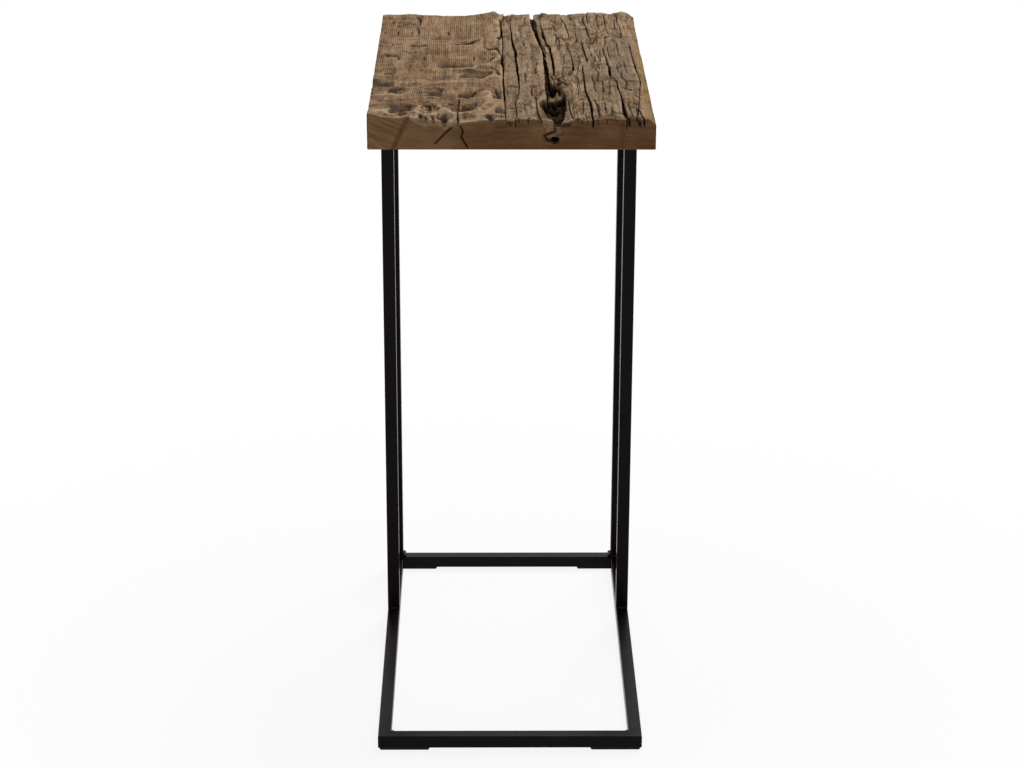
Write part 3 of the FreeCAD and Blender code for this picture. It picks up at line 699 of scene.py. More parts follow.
def top_surface(x, y, strip, part):
    """Height of the weathered top above the slab's base, with its crack and grey shares."""
    nearness = 1 - (y - slab_front) / slab_depth
    calm = 1 - 0.75 * ease(y, *calm_back)
    scoop, grey = scoop_field(x, y)
    check, open_share = check_field(x, y)
    level = board_thickness + strip_rise[strip] - scoop - check
    level += spot_field(swells, x, y)
    level += back_lift * np.exp(-((y - slab_back) / back_lift_reach) ** 2)
    level += np.interp(x, *zip(*back_rises)) * np.exp(-((y - slab_back) / back_rise_reach) ** 2)
    if strip == 0:
        level += left_relief(x, y, nearness) + spot_field(left_swells, x, y)
        gap = pit_field(x, y) * 0.42
    else:
        relief, gap = block_relief(x, y, strip, part, calm)
        level += relief
    for side, (start, end, inner, outer, drop) in enumerate(shoulders):
        if strip == main_split_number + side:
            bank = ease((x - outer) / (inner - outer), 0, 1) * ease(y, start, end)
            level -= bank * (drop + 1.6 * drift(x / 3.5, y / 5, 790, 2))
    wane = ease(x, slab_right - wane_width, slab_right + wane_width * 0.4)
    level -= wane * wane_drop * (0.7 + 0.7 * nearness)
    level = np.minimum(level, slab_highest - slab_base - top_clearance)
    return level, np.maximum(open_share, gap), grey


def smoothed(values, reach, axis):
    """Running mean of a table over twice reach plus one rows or columns."""
    values = np.moveaxis(values, axis, 0)
    padded = np.concatenate([values[:1]] * (reach + 1) + [values] + [values[-1:]] * reach)
    total = np.cumsum(padded, 0)
    mean = (total[2 * reach + 1:] - total[:-2 * reach - 1]) / (2 * reach + 1)
    return np.moveaxis(mean, 0, axis)


def painted_shade_and_grey(x, y, level, grey):
    """From 0 on worn ridges and slopes that face the light, painted bright as highlight, to 1 in
    hollows and on walls that face the front, painted dark as shade together with grey weathering.
    """
    shallow = np.maximum(level, board_thickness - shaded_depth)
    wide = smoothed(smoothed(shallow, 5, 0), 12, 1)
    narrow = smoothed(smoothed(shallow, 1, 0), 3, 1)
    slope = np.gradient(shallow, axis=0) / np.gradient(y, axis=0)
    # Painted shade on slopes that face the front, painted light on slopes that face back
    front_facing_shade = ease(slope, 0.05, 0.8) - back_slope_weight * ease(-slope, 0.05, 0.8)
    # Painted shade in hollows, at a wide and a narrow reach
    hollow_shade = (wide - shallow) * wide_hollow_weight + (narrow - shallow) * narrow_hollow_weight
    strength = 1 - 0.4 * ease(x, *softer_right)
    dark = (hollow_shade + front_facing_shade * slope_weight) * strength + grey * grey_weight
    return np.clip(0.5 + dark + patch_shade_and_tone(x, y), 0, 1)


def hole_drop(x, y, part, gap, depth):
    """How far the inside of the main split lies below its lips, with its torn floor and lumps."""
    wall = ease(part, 0.0, 0.07) * (1 - ease(part, 0.90, 1.0))
    torn = (0.3 - np.abs(drift(x / 6, y / 14, 401, 3))) * 4
    torn += shelves(drift(x / 3, y / 7, 411, 3), 3) * 3
    far_torn = shelves(drift(x / 2.6, y / 6, 431, 3), 3) * 5 - 2.5
    far_wall = ease(y, *far_wall_start)
    torn = torn * (1 - far_wall) + far_wall * far_torn
    drop = depth * wall - torn * wall * ease(gap, *split_torn_gap)
    rough = 1.8 * shelves(drift(x / 4.5, y / 8, 421, 4), 3)
    for left, right, near, far, height in torn_lumps:
        across = hump(x, (left + right) / 2, (right - left) / 2)
        along = hump(y, (near + far) / 2, (far - near) / 2)
        drop -= (height + rough) * (across * along) ** 0.30
    return np.maximum(drop, 0.5 * wall)


def top_grid():
    """Places, levels, cracks, painted shade with grey weathering, and torn wood of the top, as rows
    from the front.
    """
    share = np.linspace(0, 1, row_count) ** row_crowding
    front = slab_front + arris_round
    y = front + (slab_back - arris_round - front) * share
    zero = np.zeros_like(y)
    waver = left_waver * (0.5 + 0.5 * drift(y / 33, zero, 101, 3))
    left = slab_left + arris_round + waver * (0.15 + 0.85 * ease(y, *left_edge_wavers))
    waver = right_waver * (0.5 + 0.5 * drift(y / 40, zero, 103, 3))
    straight = np.exp(-((y - right_edge_straight) / right_edge_reach) ** 2)
    outer = slab_right - arris_round * 0.5 - waver * (1 - straight)
    columns = []
    for strip, count in enumerate(strip_columns):
        if strip < len(fissures):
            lip, far_lip, depth = lips_at(fissures[strip], y, 200 + strip)
            if strip != main_split_number:
                depth = depth * (1 - 0.9 * ease(y, *closed_back))
            right = np.maximum(lip, left + 0.4)
            far_lip = np.maximum(far_lip, right + 0.2)
        else:
            right = outer
        part = np.linspace(0, 1, count + 1)[:, None]
        x = left + (right - left) * part
        rows = np.broadcast_to(y, x.shape)
        level, crack, grey = top_surface(x, rows, strip, np.broadcast_to(part, x.shape))
        worn = np.zeros_like(x)
        if strip > 0:
            worn += np.exp(-(x - left) / lip_wear_reach) * ease(left_depth, *worn_depth)
        if strip < len(fissures):
            worn += np.exp(-(right - x) / lip_wear_reach) * ease(depth, *worn_depth)
        level -= worn * lip_wear
        columns += zip(x, level, np.maximum(crack, worn * 0.15), grey, np.zeros_like(x))
        if strip == len(fissures):
            break
        in_split = strip == main_split_number
        near_level = level[-1]
        far_level = top_surface(far_lip, y, strip + 1, zero)[0]
        inner = fissure_columns[strip]
        gap = far_lip - right
        for step in range(1, inner + 1):
            part = step / (inner + 1)
            x = right + gap * (part + 0.10 * drift(y / 4, zero + step, 300 + strip, 2) / inner)
            drop = depth * (1 - np.abs(2 * part - 1) ** 2.5)
            if in_split:
                drop = hole_drop(x, y, part, gap, depth)
            base = near_level * (1 - part) + far_level * part
            level = np.maximum(base - drop, least_thickness)
            # Painted shade: a fissure is darkened the deeper it lies below its lips
            sunk_shade = ease(base - level, *dark_depth)
            if in_split:
                open_wide = ease(gap, *split_open_gap)
                dark = ease(base - level, *split_dark_depth)
                sunk_shade = sunk_shade * (1 - open_wide) + dark * open_wide
            columns.append((x, level, sunk_shade, zero, zero + in_split))
        left = far_lip
        left_depth = depth
    xs, levels, cracks, greys_and_shades, splits = (np.array(values).T for values in zip(*columns))
    ys = np.broadcast_to(y[:, None], xs.shape)
    slope = np.gradient(levels, axis=0) / np.gradient(ys, axis=0)
    # Painted shade on the split's walls: slopes that face the front are darkened, slopes that face
    # back lightened
    inside = (ease(slope, 0.1, 1.4) * 0.6 - ease(-slope, 0.0, 1.0) * 0.3) * splits
    # Painted highlights and painted shade on the torn wood, the darker ones only below the top
    spots = splits * spot_field(torn_highlights_and_shade, xs, ys) * ease(ys, *torn_shade_start)
    spots = spots * np.where(spots > 0, ease(board_thickness - 1.5 - levels, 0, 2), 1)
    lit_end = splits * ease(ys, *lit_end_start)
    cracks = np.clip(cracks + inside * ease(cracks, 0.05, 0.3) + spots, 0, 1) * (1 - 0.7 * lit_end)
    splits = np.maximum(splits, crumb_share(xs, ys) * 0.6)
    greys_and_shades = painted_shade_and_grey(xs, ys, levels, greys_and_shades)
    # Torn wood painted lighter on raised lumps and darker in low places, as painted highlight and
    # shade
    lumps = smoothed(smoothed(levels, 3, 0), 3, 1) - levels
    greys_and_shades = np.where(splits > 0.5, np.clip(0.42 + lumps * 0.22 + spots * 0.5, 0, 1), greys_and_shades)
    return xs, ys, levels, cracks, greys_and_shades, splits


def skirt_profile():
    """Steps down the slab's edge: outward share, drop below the top, and share of the rest."""
    steps = [(0.70, 0.35, 0.0), (1.0, 1.15, 0.0)]
    steps += [(1.0, 1.5, share) for share in np.linspace(0.08, 0.955, side_rows)]
    return steps + [(0.5, 1.5, 1.0)]


def front_recess(x, height):
    """How far the front face lies back where it is chipped, and how much painted shade darkens it
    there.
    """
    recess = np.zeros_like(x)
    dark = np.zeros_like(x)
    wander_x = x + 1.2 * drift(x / 4, height / 4, 521, 2)
    wander_z = height + 0.9 * drift(x / 5, height / 3, 531, 2)
    for *oval, deep, darkness in front_chips:
        within = ease(1.25 - away_from(wander_x, wander_z, *oval), 0, 0.6)
        recess = np.maximum(recess, deep * within)
        dark = np.maximum(dark, darkness * within)
    return recess, dark


def slab_mesh():
    """Corners and faces of the slab's skin, and its crack, darkness, torn and edge shares."""
    x, y, level, crack, grey, split = top_grid()
    rows, columns = x.shape
    top = np.stack([x, y, slab_base + level], -1).reshape(-1, 3)
    number = np.arange(rows * columns).reshape(rows, columns)
    quads = np.stack([number[:-1, :-1], number[:-1, 1:], number[1:, 1:], number[1:, :-1]], -1)
    border = np.concatenate([number[0, :], number[1:, -1], number[-1, -2::-1],
                             number[-2:0:-1, 0]])
    order = np.arange(len(border))
    right_corner, back_corner = columns - 1, columns + rows - 2
    left_corner = back_corner + columns - 1
    on_front = order <= right_corner
    outward = np.zeros((len(border), 2))
    outward[on_front, 1] = -1
    outward[(order >= back_corner) & (order <= left_corner), 1] = 1
    outward[(order >= right_corner) & (order <= back_corner), 0] = 0.5
    outward[(order >= left_corner) | (order == 0), 0] = -1
    vertices = [top]
    faces = [quads.reshape(-1, 4)]
    weather_and_shade = [np.stack([crack, grey, split, np.zeros_like(crack)], -1).reshape(-1, 4)]
    rim_x, rim_y, rim_height = top[border].T
    rim_share = weather_and_shade[0][border]
    torn_end = ease(rim_x, *rough_edge_left) * (1 - ease(rim_x, *rough_edge_right)) * on_front
    ring = border
    total = len(top)
    for out, drop, share in skirt_profile():
        height = np.maximum(rim_height - drop, slab_base + 1.0)
        height += (slab_base - height) * share
        fallen = rim_height - height
        saw = drift(rim_x / 9 + rim_y / 9, height / 1.6, 501, 2) * saw_mark_depth
        recess, dark = front_recess(rim_x, height - slab_base)
        chipped = on_front * (0 < share < 1)
        reach = arris_round * out + (saw - saw_mark_depth) * (out == 1.0) - recess * chipped
        vertices.append(np.stack([rim_x + outward[:, 0] * reach, rim_y + outward[:, 1] * reach,
                                  height], -1))
        rough = drift(rim_x / 7, height / 5, 541, 3)
        ragged = 0.9 + 4.6 * torn_end + (0.4 + 2.4 * torn_end) * rough
        band = rim_share.copy()
        # Chipped places on the front get painted shade in their recess
        band[:, 0] = np.maximum(band[:, 0] * (1 - ease(fallen, *crack_fade)), dark * chipped)
        band[:, 1] = 0.5 + (band[:, 1] - 0.5) * (1 - ease(fallen, *shade_fade))
        band[:, 2] *= 1 - ease(fallen, *torn_fade)
        band[:, 3] = ease(fallen, ragged - 1.2, ragged + 0.6)
        weather_and_shade.append(band)
        lower = np.arange(total, total + len(ring))
        total += len(ring)
        faces.append(np.stack([ring, lower, np.roll(lower, -1), np.roll(ring, -1)], -1))
        ring = lower
    faces = [face.tolist() for face in np.concatenate(faces)] + [ring[::-1].tolist()]
    return np.concatenate(vertices), faces, np.concatenate(weather_and_shade)


def give_finish(mesh, material):
    mesh.materials.clear()
    mesh.materials.append(material)


def new_piece(name, mesh, material):
    piece = bpy.data.objects.new(name, mesh)
    bpy.context.scene.collection.objects.link(piece)
    give_finish(mesh, material)
    return piece


def old_slab(material):
    vertices, faces, weather_and_shade = slab_mesh()
    mesh = bpy.data.meshes.new("old_timber_slab")
    mesh.from_pydata((vertices * MM).tolist(), [], faces)
    # Crack share with its painted shade, painted shade with grey weathering, torn share and edge
    # share
    store = mesh.attributes.new("weather_and_shade", "FLOAT_COLOR", "POINT")
    store.data.foreach_set("color", weather_and_shade.astype(np.float32).ravel())
    mesh.shade_smooth()
    mesh.set_sharp_from_angle(angle=math.radians(sharp_angle))
    slab = new_piece("old_timber_slab", mesh, material)
    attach(slab, "root")
    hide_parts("slab")


# Finishes

def paint(*colour):
    """A colour written on the usual 0 to 255 scale, as Blender's linear values."""
    values = []
    for share in (part / 255 for part in colour):
        values.append(share / 12.92 if share <= 0.04045 else ((share + 0.055) / 1.055) ** 2.4)
    return (*values, 1.0)


class Value:
    """A number that varies over a surface: arithmetic on it adds Math nodes."""

    def __init__(self, maker, socket):
        self.maker = maker
        self.socket = socket

    def math(self, operation, *others):
        """This value and others, through one Math node."""
        return self.maker.math(operation, self, *others)

    def __add__(self, other):
        return self.math("ADD", other)

    __radd__ = __add__

    def __sub__(self, other):
        return self.math("SUBTRACT", other)

    def __rsub__(self, other):
        return self.maker.math("SUBTRACT", other, self)

    def __mul__(self, other):
        return self.math("MULTIPLY", other)

    __rmul__ = __mul__

    def __truediv__(self, other):
        return self.math("DIVIDE", other)

    def clamp(self):
        return self.math("MAXIMUM", 0.0).math("MINIMUM", 1.0)

    def above(self, start, end):
        """From 0 at start to 1 at end."""
        return ((self - start) / (end - start)).clamp()


def largest(values):
    """The largest of several values at each place."""
    return functools.reduce(lambda most, value: most.math("MAXIMUM", value), values)


class NodeMaker:
    """Adds nodes to one tree."""

    def __init__(self, tree):
        self.nodes = tree.nodes
        self.links = tree.links

    def node(self, kind, settings, inputs, output=0):
        """Any node: its settings first, then its sockets' values or links."""
        made = self.nodes.new(kind)
        for name, value in settings.items():
            setattr(made, name, value)
        for name, value in inputs.items():
            self.feed(made.inputs[name], value)
        return Value(self, made.outputs[output])

    def feed(self, socket, value):
        if isinstance(value, Value):
            self.links.new(value.socket, socket)
        else:
            socket.default_value = value

    def math(self, operation, *terms):
        return self.node("ShaderNodeMath", {"operation": operation}, dict(enumerate(terms)))

    def at(self, x, y, z):
        return self.node("ShaderNodeCombineXYZ", {}, {"X": x, "Y": y, "Z": z})

    def stir(self, settings, inputs, reach):
        """Ways and distances to move places by, out of noise."""
        aside = self.node("ShaderNodeTexNoise", settings, inputs, 1)
        aside = self.node("ShaderNodeVectorMath", {"operation": "SUBTRACT"},
                          {0: aside, 1: (0.5, 0.5, 0.5)})
        return self.node("ShaderNodeVectorMath", {"operation": "SCALE"},
                         {0: aside, "Scale": reach})

    def seen(self, *rays):
        """1 where the surface is met by one of the named kinds of ray."""
        return largest(self.node("ShaderNodeLightPath", {}, {}, f"Is {ray} Ray") for ray in rays)


class Finish(NodeMaker):
    """One material and its shader."""

    def __init__(self, name):
        self.material = bpy.data.materials.new(name)
        self.material.use_nodes = True
        super().__init__(self.material.node_tree)
        self.shader = next(n for n in self.nodes if n.type == "BSDF_PRINCIPLED")

    def place(self):
        """Each place on the object, in metres."""
        return self.node("ShaderNodeTexCoord", {}, {}, "Object")

    def noise(self, place, scale, detail=3.0, roughness=0.55, distortion=0.0):
        return self.node("ShaderNodeTexNoise", {},
                         {"Vector": place, "Scale": scale, "Detail": detail,
                          "Roughness": roughness, "Distortion": distortion})

    def stretched(self, place, across, along, up):
        return self.node("ShaderNodeMapping", {}, {"Vector": place, "Scale": (across, along, up)})

    def shaken(self, place, scale, reach):
        """The same places moved about by noise."""
        aside = self.stir({}, {"Vector": place, "Scale": scale, "Detail": 3.0}, reach)
        return self.node("ShaderNodeVectorMath", {"operation": "ADD"}, {0: place, 1: aside})

    def mix(self, share, first, second):
        """One colour laid over another."""
        factor, low, high = 0, 6, 7
        return self.node("ShaderNodeMix", {"data_type": "RGBA"},
                         {factor: share, low: first, high: second}, 2)

    def layers(self, colour, *coats):
        """Colours laid over a first one in turn, each with its share."""
        for share, coat in coats:
            colour = self.mix(share, colour, coat)
        return colour

    def set(self, **sockets):
        for name, value in sockets.items():
            self.feed(self.shader.inputs[name.replace("_", " ")], value)

    def bump(self, height, distance):
        return self.node("ShaderNodeBump", {},
                         {"Height": height, "Distance": distance, "Strength": 1.0})


class Recipe(NodeMaker):
    """A Geometry Nodes tree with named sizes, run once on guide lines or points."""

    def __init__(self, name, sizes):
        self.group = bpy.data.node_groups.new(name, "GeometryNodeTree")
        super().__init__(self.group)
        face = self.group.interface
        face.new_socket("Guides", in_out="INPUT", socket_type="NodeSocketGeometry")
        for size, value in sizes.items():
            socket = face.new_socket(size, in_out="INPUT", socket_type="NodeSocketFloat")
            socket.default_value = value
        face.new_socket("Made", in_out="OUTPUT", socket_type="NodeSocketGeometry")
        self.entry = self.nodes.new("NodeGroupInput")
        self.guides = Value(self, self.entry.outputs[0])

    def size(self, name):
        return Value(self, self.entry.outputs[name])

    def curve(self, mode, socket, value):
        """The guide lines with points along them, by their count or by their spacing."""
        line = self.node("GeometryNodeMeshToCurve", {}, {"Mesh": self.guides})
        return self.node("GeometryNodeResampleCurve", {"mode": mode},
                         {"Curve": line, socket: value})

    def rod(self, line, thickness, sides, radius):
        """A closed rod along a line, as thick as its radius times the thickness."""
        line = self.node("GeometryNodeSetCurveRadius", {}, {"Curve": line, "Radius": thickness})
        profile = self.node("GeometryNodeCurvePrimitiveCircle", {},
                            {"Resolution": sides, "Radius": radius})
        return self.node("GeometryNodeCurveToMesh", {},
                         {"Curve": line, "Profile Curve": profile, "Fill Caps": True})

    def join(self, *parts):
        joined = self.node("GeometryNodeJoinGeometry", {}, {})
        for part in parts:
            self.links.new(part.socket, joined.socket.node.inputs[0])
        return joined

    def end(self, made, material):
        """Realizes what was made and gives it its finish."""
        made = self.node("GeometryNodeRealizeInstances", {}, {"Geometry": made})
        made = self.node("GeometryNodeSetMaterial", {}, {"Geometry": made, "Material": material})
        self.links.new(made.socket, self.nodes.new("NodeGroupOutput").inputs[0])

    def run(self, name, points, lines, material, thickness=None):
        """Makes a plain piece from guide points in millimetres, joined by lines or not."""
        guide_mesh = bpy.data.meshes.new(name + "_guide")
        guide_mesh.from_pydata([tuple(np.array(point) * MM) for point in points], lines, [])
        if thickness is not None:
            guide_mesh.attributes.new("thickness", "FLOAT", "POINT").data.foreach_set(
                "value", thickness)
        guide = new_piece(name + "_guide", guide_mesh, material)
        modifier = guide.modifiers.new("recipe", "NODES")
        modifier.node_group = self.group
        made = bpy.data.meshes.new_from_object(
            guide.evaluated_get(bpy.context.evaluated_depsgraph_get()))
        bpy.data.objects.remove(guide)
        made.name = name
        return new_piece(name, made, material)


# Colours of the timber, and where its kinds begin: each pair runs from none to all of it
pale_end_lean = 0.454
pale_end_edge = (-105.0, -112.0)
dark_seam_x = 101.3
left_part_edge = (-9.0, -4.0)
torn_end_left = (-92.0, -82.0)
torn_end_right = (-20.0, -32.0)
torn_end_back = (-116.0, -134.0)
smooth_left = (98.0, 101.0)
smooth_right = (121.0, 118.0)
smooth_front = (-84.0, -60.0)
smooth_back = (120.0, 80.0)
sapwood_edge = (127.0, 131.0)
border_left = (-19.0, -11.0)
border_back = (-60.0, 30.0)
rim_start = (slab_front + 12.0, slab_front + 4.0)
flank_start = (slab_right - 1.8, slab_right - 1.2)
front_face_start = (slab_front + 9.0, slab_front + 8.0)
comb_pitch = 2.05
tan_ridge = paint(176, 147, 116)
ridge_light = paint(202, 173, 140)
weathered_brown = paint(154, 126, 98)
block_brown = paint(140, 118, 95)
block_tan = paint(163, 140, 116)
amber_brown = paint(168, 126, 82)
red_brown = paint(134, 94, 66)
cool_grey = paint(120, 106, 88)
strip_grey = paint(128, 108, 92)
deep_brown = paint(82, 55, 28)
hollow_grey = paint(66, 56, 48)
hollow_brown = paint(56, 36, 18)
# Black of painted shade deep in cracks and in the split
crack_shade_black = paint(24, 11, 6)
pit_red = paint(70, 38, 24)
sapwood_tan = paint(158, 128, 88)
torn_dark = paint(50, 32, 22)
torn_light = paint(142, 116, 90)
facet_dark = paint(92, 76, 62)
facet_light = paint(188, 152, 113)
sawn_brown = paint(129, 92, 61)
sawn_dark = paint(94, 62, 40)
sawn_light = paint(166, 132, 94)


def crack_mark(x, height, points, width):
    """1 on a line through points on the front face, falling to 0 beside it."""
    marks = []
    for (x0, z0), (x1, z1) in zip(points, points[1:]):
        run_x, run_z = x1 - x0, z1 - z0
        length = run_x ** 2 + run_z ** 2
        share = (((x - x0) * run_x + (height - z0) * run_z) / length).clamp()
        away_x = x - x0 - share * run_x
        away_z = height - z0 - share * run_z
        away = away_x * away_x + away_z * away_z
        marks.append(away.above(width ** 2 * 2.2, width ** 2 * 0.2))
    return largest(marks)


def end_grain(f, place, x, y, height):
    """Sawn brown ends with growth rings, and the noise of the rings."""
    middle, flatness, depth_below = 18.0, 0.34, 62.0
    across = (x - middle) * flatness
    rise = height + depth_below
    radius = (across * across + rise * rise).math("SQRT")
    ring_place = f.at(radius, x * 0.03, y * 0.02)
    rings = f.noise(ring_place, 0.55, 3.0, 0.6, distortion=0.4)
    fine = f.noise(ring_place, 2.1, 2.0, 0.6)
    clouds = f.noise(f.stretched(place, 0.5, 1.0, 1.0), 60.0, 3.0, 0.6)
    slant = f.noise(f.at(height * 0.9 + x * 0.4, (x - height) * 0.05, y * 0.02), 0.42, 4.0, 0.6)
    pale = f.mix(slant.above(0.40, 0.62), sawn_brown, sawn_light)
    pale_end = (x - height * pale_end_lean).above(*pale_end_edge)
    low_right = height.above(17.0, 2.0) * x.above(-20.0, 40.0)
    wood = f.layers(
        sawn_dark,
        (rings.above(0.28, 0.72), sawn_brown),
        (fine.above(0.40, 0.75) * 0.24, sawn_light),
        (clouds.above(0.42, 0.70) * 0.42, sawn_light),
        (x.above(-20.0, -120.0) * 0.44, sawn_light),
        ((x - dark_seam_x).math("ABSOLUTE").above(3.6, 0.6) * 0.30, sawn_dark),
        (low_right * 0.32, sawn_dark),
        (pale_end * 0.80, pale),
        ((pale_end * (1 - pale_end) * 2.6).clamp(), sawn_dark),
    )
    return wood, rings


def timber_finish():
    f = Finish("old_timber")
    place = f.place()
    x, y, z = (f.node("ShaderNodeSeparateXYZ", {}, {"Vector": place}, axis) / MM for axis in "XYZ")
    height = z - float(slab_base)
    weather_and_shade = f.node("ShaderNodeAttribute", {"attribute_name": "weather_and_shade"}, {}, "Color")
    crack, grey, split = (f.node("ShaderNodeSeparateColor", {}, {"Color": weather_and_shade}, share)
                          for share in ("Red", "Green", "Blue"))
    edge = f.node("ShaderNodeAttribute", {"attribute_name": "weather_and_shade"}, {}, "Alpha")

    def grain(along, scale, detail, roughness, across=1.0, up=1.0):
        """Noise drawn out along the board."""
        return f.noise(f.stretched(place, across, along, up), scale, detail, roughness)

    bend = grain(0.4, 22.0, 3.0, 0.5)
    streaks = grain(0.06, 210.0, 4.0, 0.7)
    bands = grain(0.10, 75.0, 4.0, 0.7)
    clouds = grain(0.5, 28.0, 3.0, 0.6)
    grit = grain(0.25, 480.0, 3.0, 0.75)
    warm = grain(0.6, 44.0, 4.0, 0.65, across=1.3)
    cool = grain(0.9, 31.0, 4.0, 0.65, up=1.3)
    moved = f.shaken(place, 90.0, 2.4 * MM)
    speckle = f.noise(f.stretched(moved, 1.0, 0.45, 1.0), 300.0, 4.0, 0.7)
    cells = {"Vector": f.stretched(moved, 1.0, 0.17, 1.0), "Scale": 205.0}
    seams = f.node("ShaderNodeTexVoronoi", {"feature": "DISTANCE_TO_EDGE"}, cells, "Distance")
    plates = f.node("ShaderNodeTexVoronoi", {"feature": "F1"}, cells, "Color")
    plates = f.node("ShaderNodeSeparateColor", {}, {"Color": plates}, "Red")
    sweep = bend * (4.0 + y.above(-40.0, -150.0) * 14.0)
    comb = ((x + sweep) * (math.tau / comb_pitch)).math("SINE") * 0.5 + 0.5
    dark_grit = grit.above(0.52, 0.38)

    right_side = x.above(*left_part_edge)
    left_side = 1 - right_side
    middle = f.mix(right_side, weathered_brown, block_brown)
    light = f.mix(right_side, tan_ridge, block_tan)
    torn_end = ((x + cool * 24.0).above(*torn_end_left) * (x + warm * 24.0).above(*torn_end_right)
                * (y + bands * 30.0).above(*torn_end_back))
    combed = (1 - right_side * 0.8) * (1 - torn_end * 0.8) * (0.25 + clouds.above(0.66, 0.40))
    gritty = 0.55 + right_side * 0.30 + torn_end * 0.45
    amber = warm.above(0.50, 0.36) * left_side * y.above(120.0, -20.0)
    border = x.above(*border_left) * left_side * y.above(*border_back)
    rim = (y + bands * 6.0).above(*rim_start)
    smooth_strip = (x.above(*smooth_left) * x.above(*smooth_right)
                    * y.above(*smooth_front) * y.above(*smooth_back))
    sap = (x - y * 0.012 + f.noise(place, 60.0) * 8.0).above(*sapwood_edge)
    seam = seams.above(0.10, 0.03) * right_side * warm.above(0.50, 0.62)
    seam = seam * (0.45 + y.above(-100.0, -30.0) * 0.55)
    # Painted shade together with grey weathering, for hollows and slopes that face the front
    shade = f.layers(hollow_grey, (right_side, hollow_brown), (torn_end, pit_red))
    top = f.layers(
        middle,
        (bands.above(0.40, 0.62) * 0.55, light),
        (warm.above(0.50, 0.66) * 0.7, red_brown),
        (amber * 0.55, amber_brown),
        (cool.above(0.52, 0.68) * 0.7, cool_grey),
        (comb.above(0.75, 0.0) * 0.62 * combed, deep_brown),
        (streaks.above(0.50, 0.34) * 0.65, deep_brown),
        (streaks.above(0.54, 0.68) * 0.40, ridge_light),
        (clouds.above(0.55, 0.72) * 0.3, light),
        (plates.above(0.60, 1.0) * 0.40 * right_side, ridge_light),
        (plates.above(0.40, 0.0) * 0.40 * right_side, weathered_brown),
        (dark_grit * 0.68 * gritty, deep_brown),
        (grit.above(0.56, 0.68) * 0.40 * gritty, ridge_light),
        (torn_end * speckle.above(0.50, 0.60) * 0.55, ridge_light),
        (torn_end * speckle.above(0.47, 0.38) * 0.75, pit_red),
        (border * speckle.above(0.54, 0.40) * 0.8, pit_red),
        (rim * (0.35 - x.above(60.0, 76.0) * 0.2), ridge_light),
        (smooth_strip * 0.55, strip_grey),
        (sap * 0.9, sapwood_tan),
        # Painted highlight on ridges and on slopes that face the light, where the grey share is low
        (grey.above(0.48, 0.05) * 0.75 * (1 - sap * 0.8), ridge_light),
        (seam * 0.60, hollow_brown),
        # Painted shade and grey weathering where the grey share is high
        ((grey.above(0.52, 0.95) * (0.75 + clouds * 0.4)).clamp() * 0.80, shade),
    )

    ends, rings = end_grain(f, place, x, y, height)
    along = f.noise(f.stretched(place, 1.0, 0.05, 1.0), 330.0, 4.0, 0.6, distortion=0.4)
    flanks = f.layers(sawn_dark, (along.above(0.34, 0.66), sawn_brown),
                      (streaks.above(0.45, 0.75) * 0.5, sawn_light))
    on_flank = x.math("ABSOLUTE").above(*flank_start)
    side = f.mix(on_flank, ends, flanks)
    on_front = y.above(*front_face_start)
    # Cracks on the front face, drawn as lines of painted shade
    marks = largest(crack_mark(x + (rings - 0.5) * 1.6, height, points, width)
                    for width, points in front_cracks)
    marks = marks * on_front * (0.45 + streaks)
    for middle_x, level, reach, rise, lean, lightness in front_facets:
        up = (height - level + (rings - 0.5) * 3.0) / rise
        aside = (x - middle_x - (height - level) * lean + (streaks - 0.5) * 2.0) / reach
        up, aside = up * up, aside * aside
        within = (1 - up * up - aside * aside).above(0.0, 0.45) * on_front
        # Each facet's tone, with a dark rim of painted shade round its edge
        tone = f.layers(facet_dark, (lightness, facet_light), (dark_grit * 0.4, torn_dark),
                        (speckle.above(0.53, 0.40) * 0.5, facet_dark),
                        (within * (1 - within) * 3.4, crack_shade_black))
        side = f.mix(within * 0.92, side, tone)
    # Torn wood in the split: pale where painted highlight falls on lumps, dark where painted shade
    # falls in low places
    torn = (grey + (streaks - 0.5) * 0.4 + (speckle - 0.5) * 2.4).above(0.70, 0.25)
    # Painted shade in cracks and the split, from the crack share, broken up by speckle in the split
    deep = ((crack + (speckle - 0.5) * split * 1.3) * 1.2).clamp() * (1 - split * 0.15)
    colour = f.layers(top, (edge, side), (split * 0.85, f.mix(torn, torn_dark, torn_light)),
                      (deep, crack_shade_black), (marks * edge * 0.9, crack_shade_black))
    fine = (comb * 0.20 * combed + plates * 0.14 * right_side - seam * 0.35
            + speckle * (0.30 + torn_end * 0.9)) * (1 - edge)
    relief = fine + streaks * 0.5 + grit * 0.5 - marks * 0.6
    f.set(Base_Color=colour, Roughness=0.9, Specular_IOR_Level=0.03,
          Normal=f.bump(relief, 1.9 * MM))
    return f.material


def iron_finish():
    f = Finish("black_iron")
    mill = f.noise(f.place(), 900.0, 2.0)
    haze = f.noise(f.place(), 22.0)
    colour = f.mix(haze.above(0.35, 0.7), paint(15, 8, 6), paint(20, 12, 10))
    f.set(Base_Color=colour, Roughness=0.20 + haze * 0.12, Specular_IOR_Level=0.075,
          Normal=f.bump(mill, 0.05 * MM))
    return f.material


def rubber_finish():
    f = Finish("pad_rubber")
    colour = f.mix(f.noise(f.place(), 1400.0, 2.0), paint(20, 20, 20), paint(30, 30, 30))
    f.set(Base_Color=colour, Roughness=0.8, Specular_IOR_Level=0.2)
    return f.material


def zinc_finish():
    f = Finish("screw_steel")
    haze = f.noise(f.place(), 700.0)
    colour = f.mix(haze, paint(140, 139, 134), paint(176, 174, 168))
    f.set(Base_Color=colour, Metallic=1.0, Roughness=0.32 + haze * 0.2)
    return f.material


timber = timber_finish()
black_iron = iron_finish()
pad_rubber = rubber_finish()
screw_steel = zinc_finish()

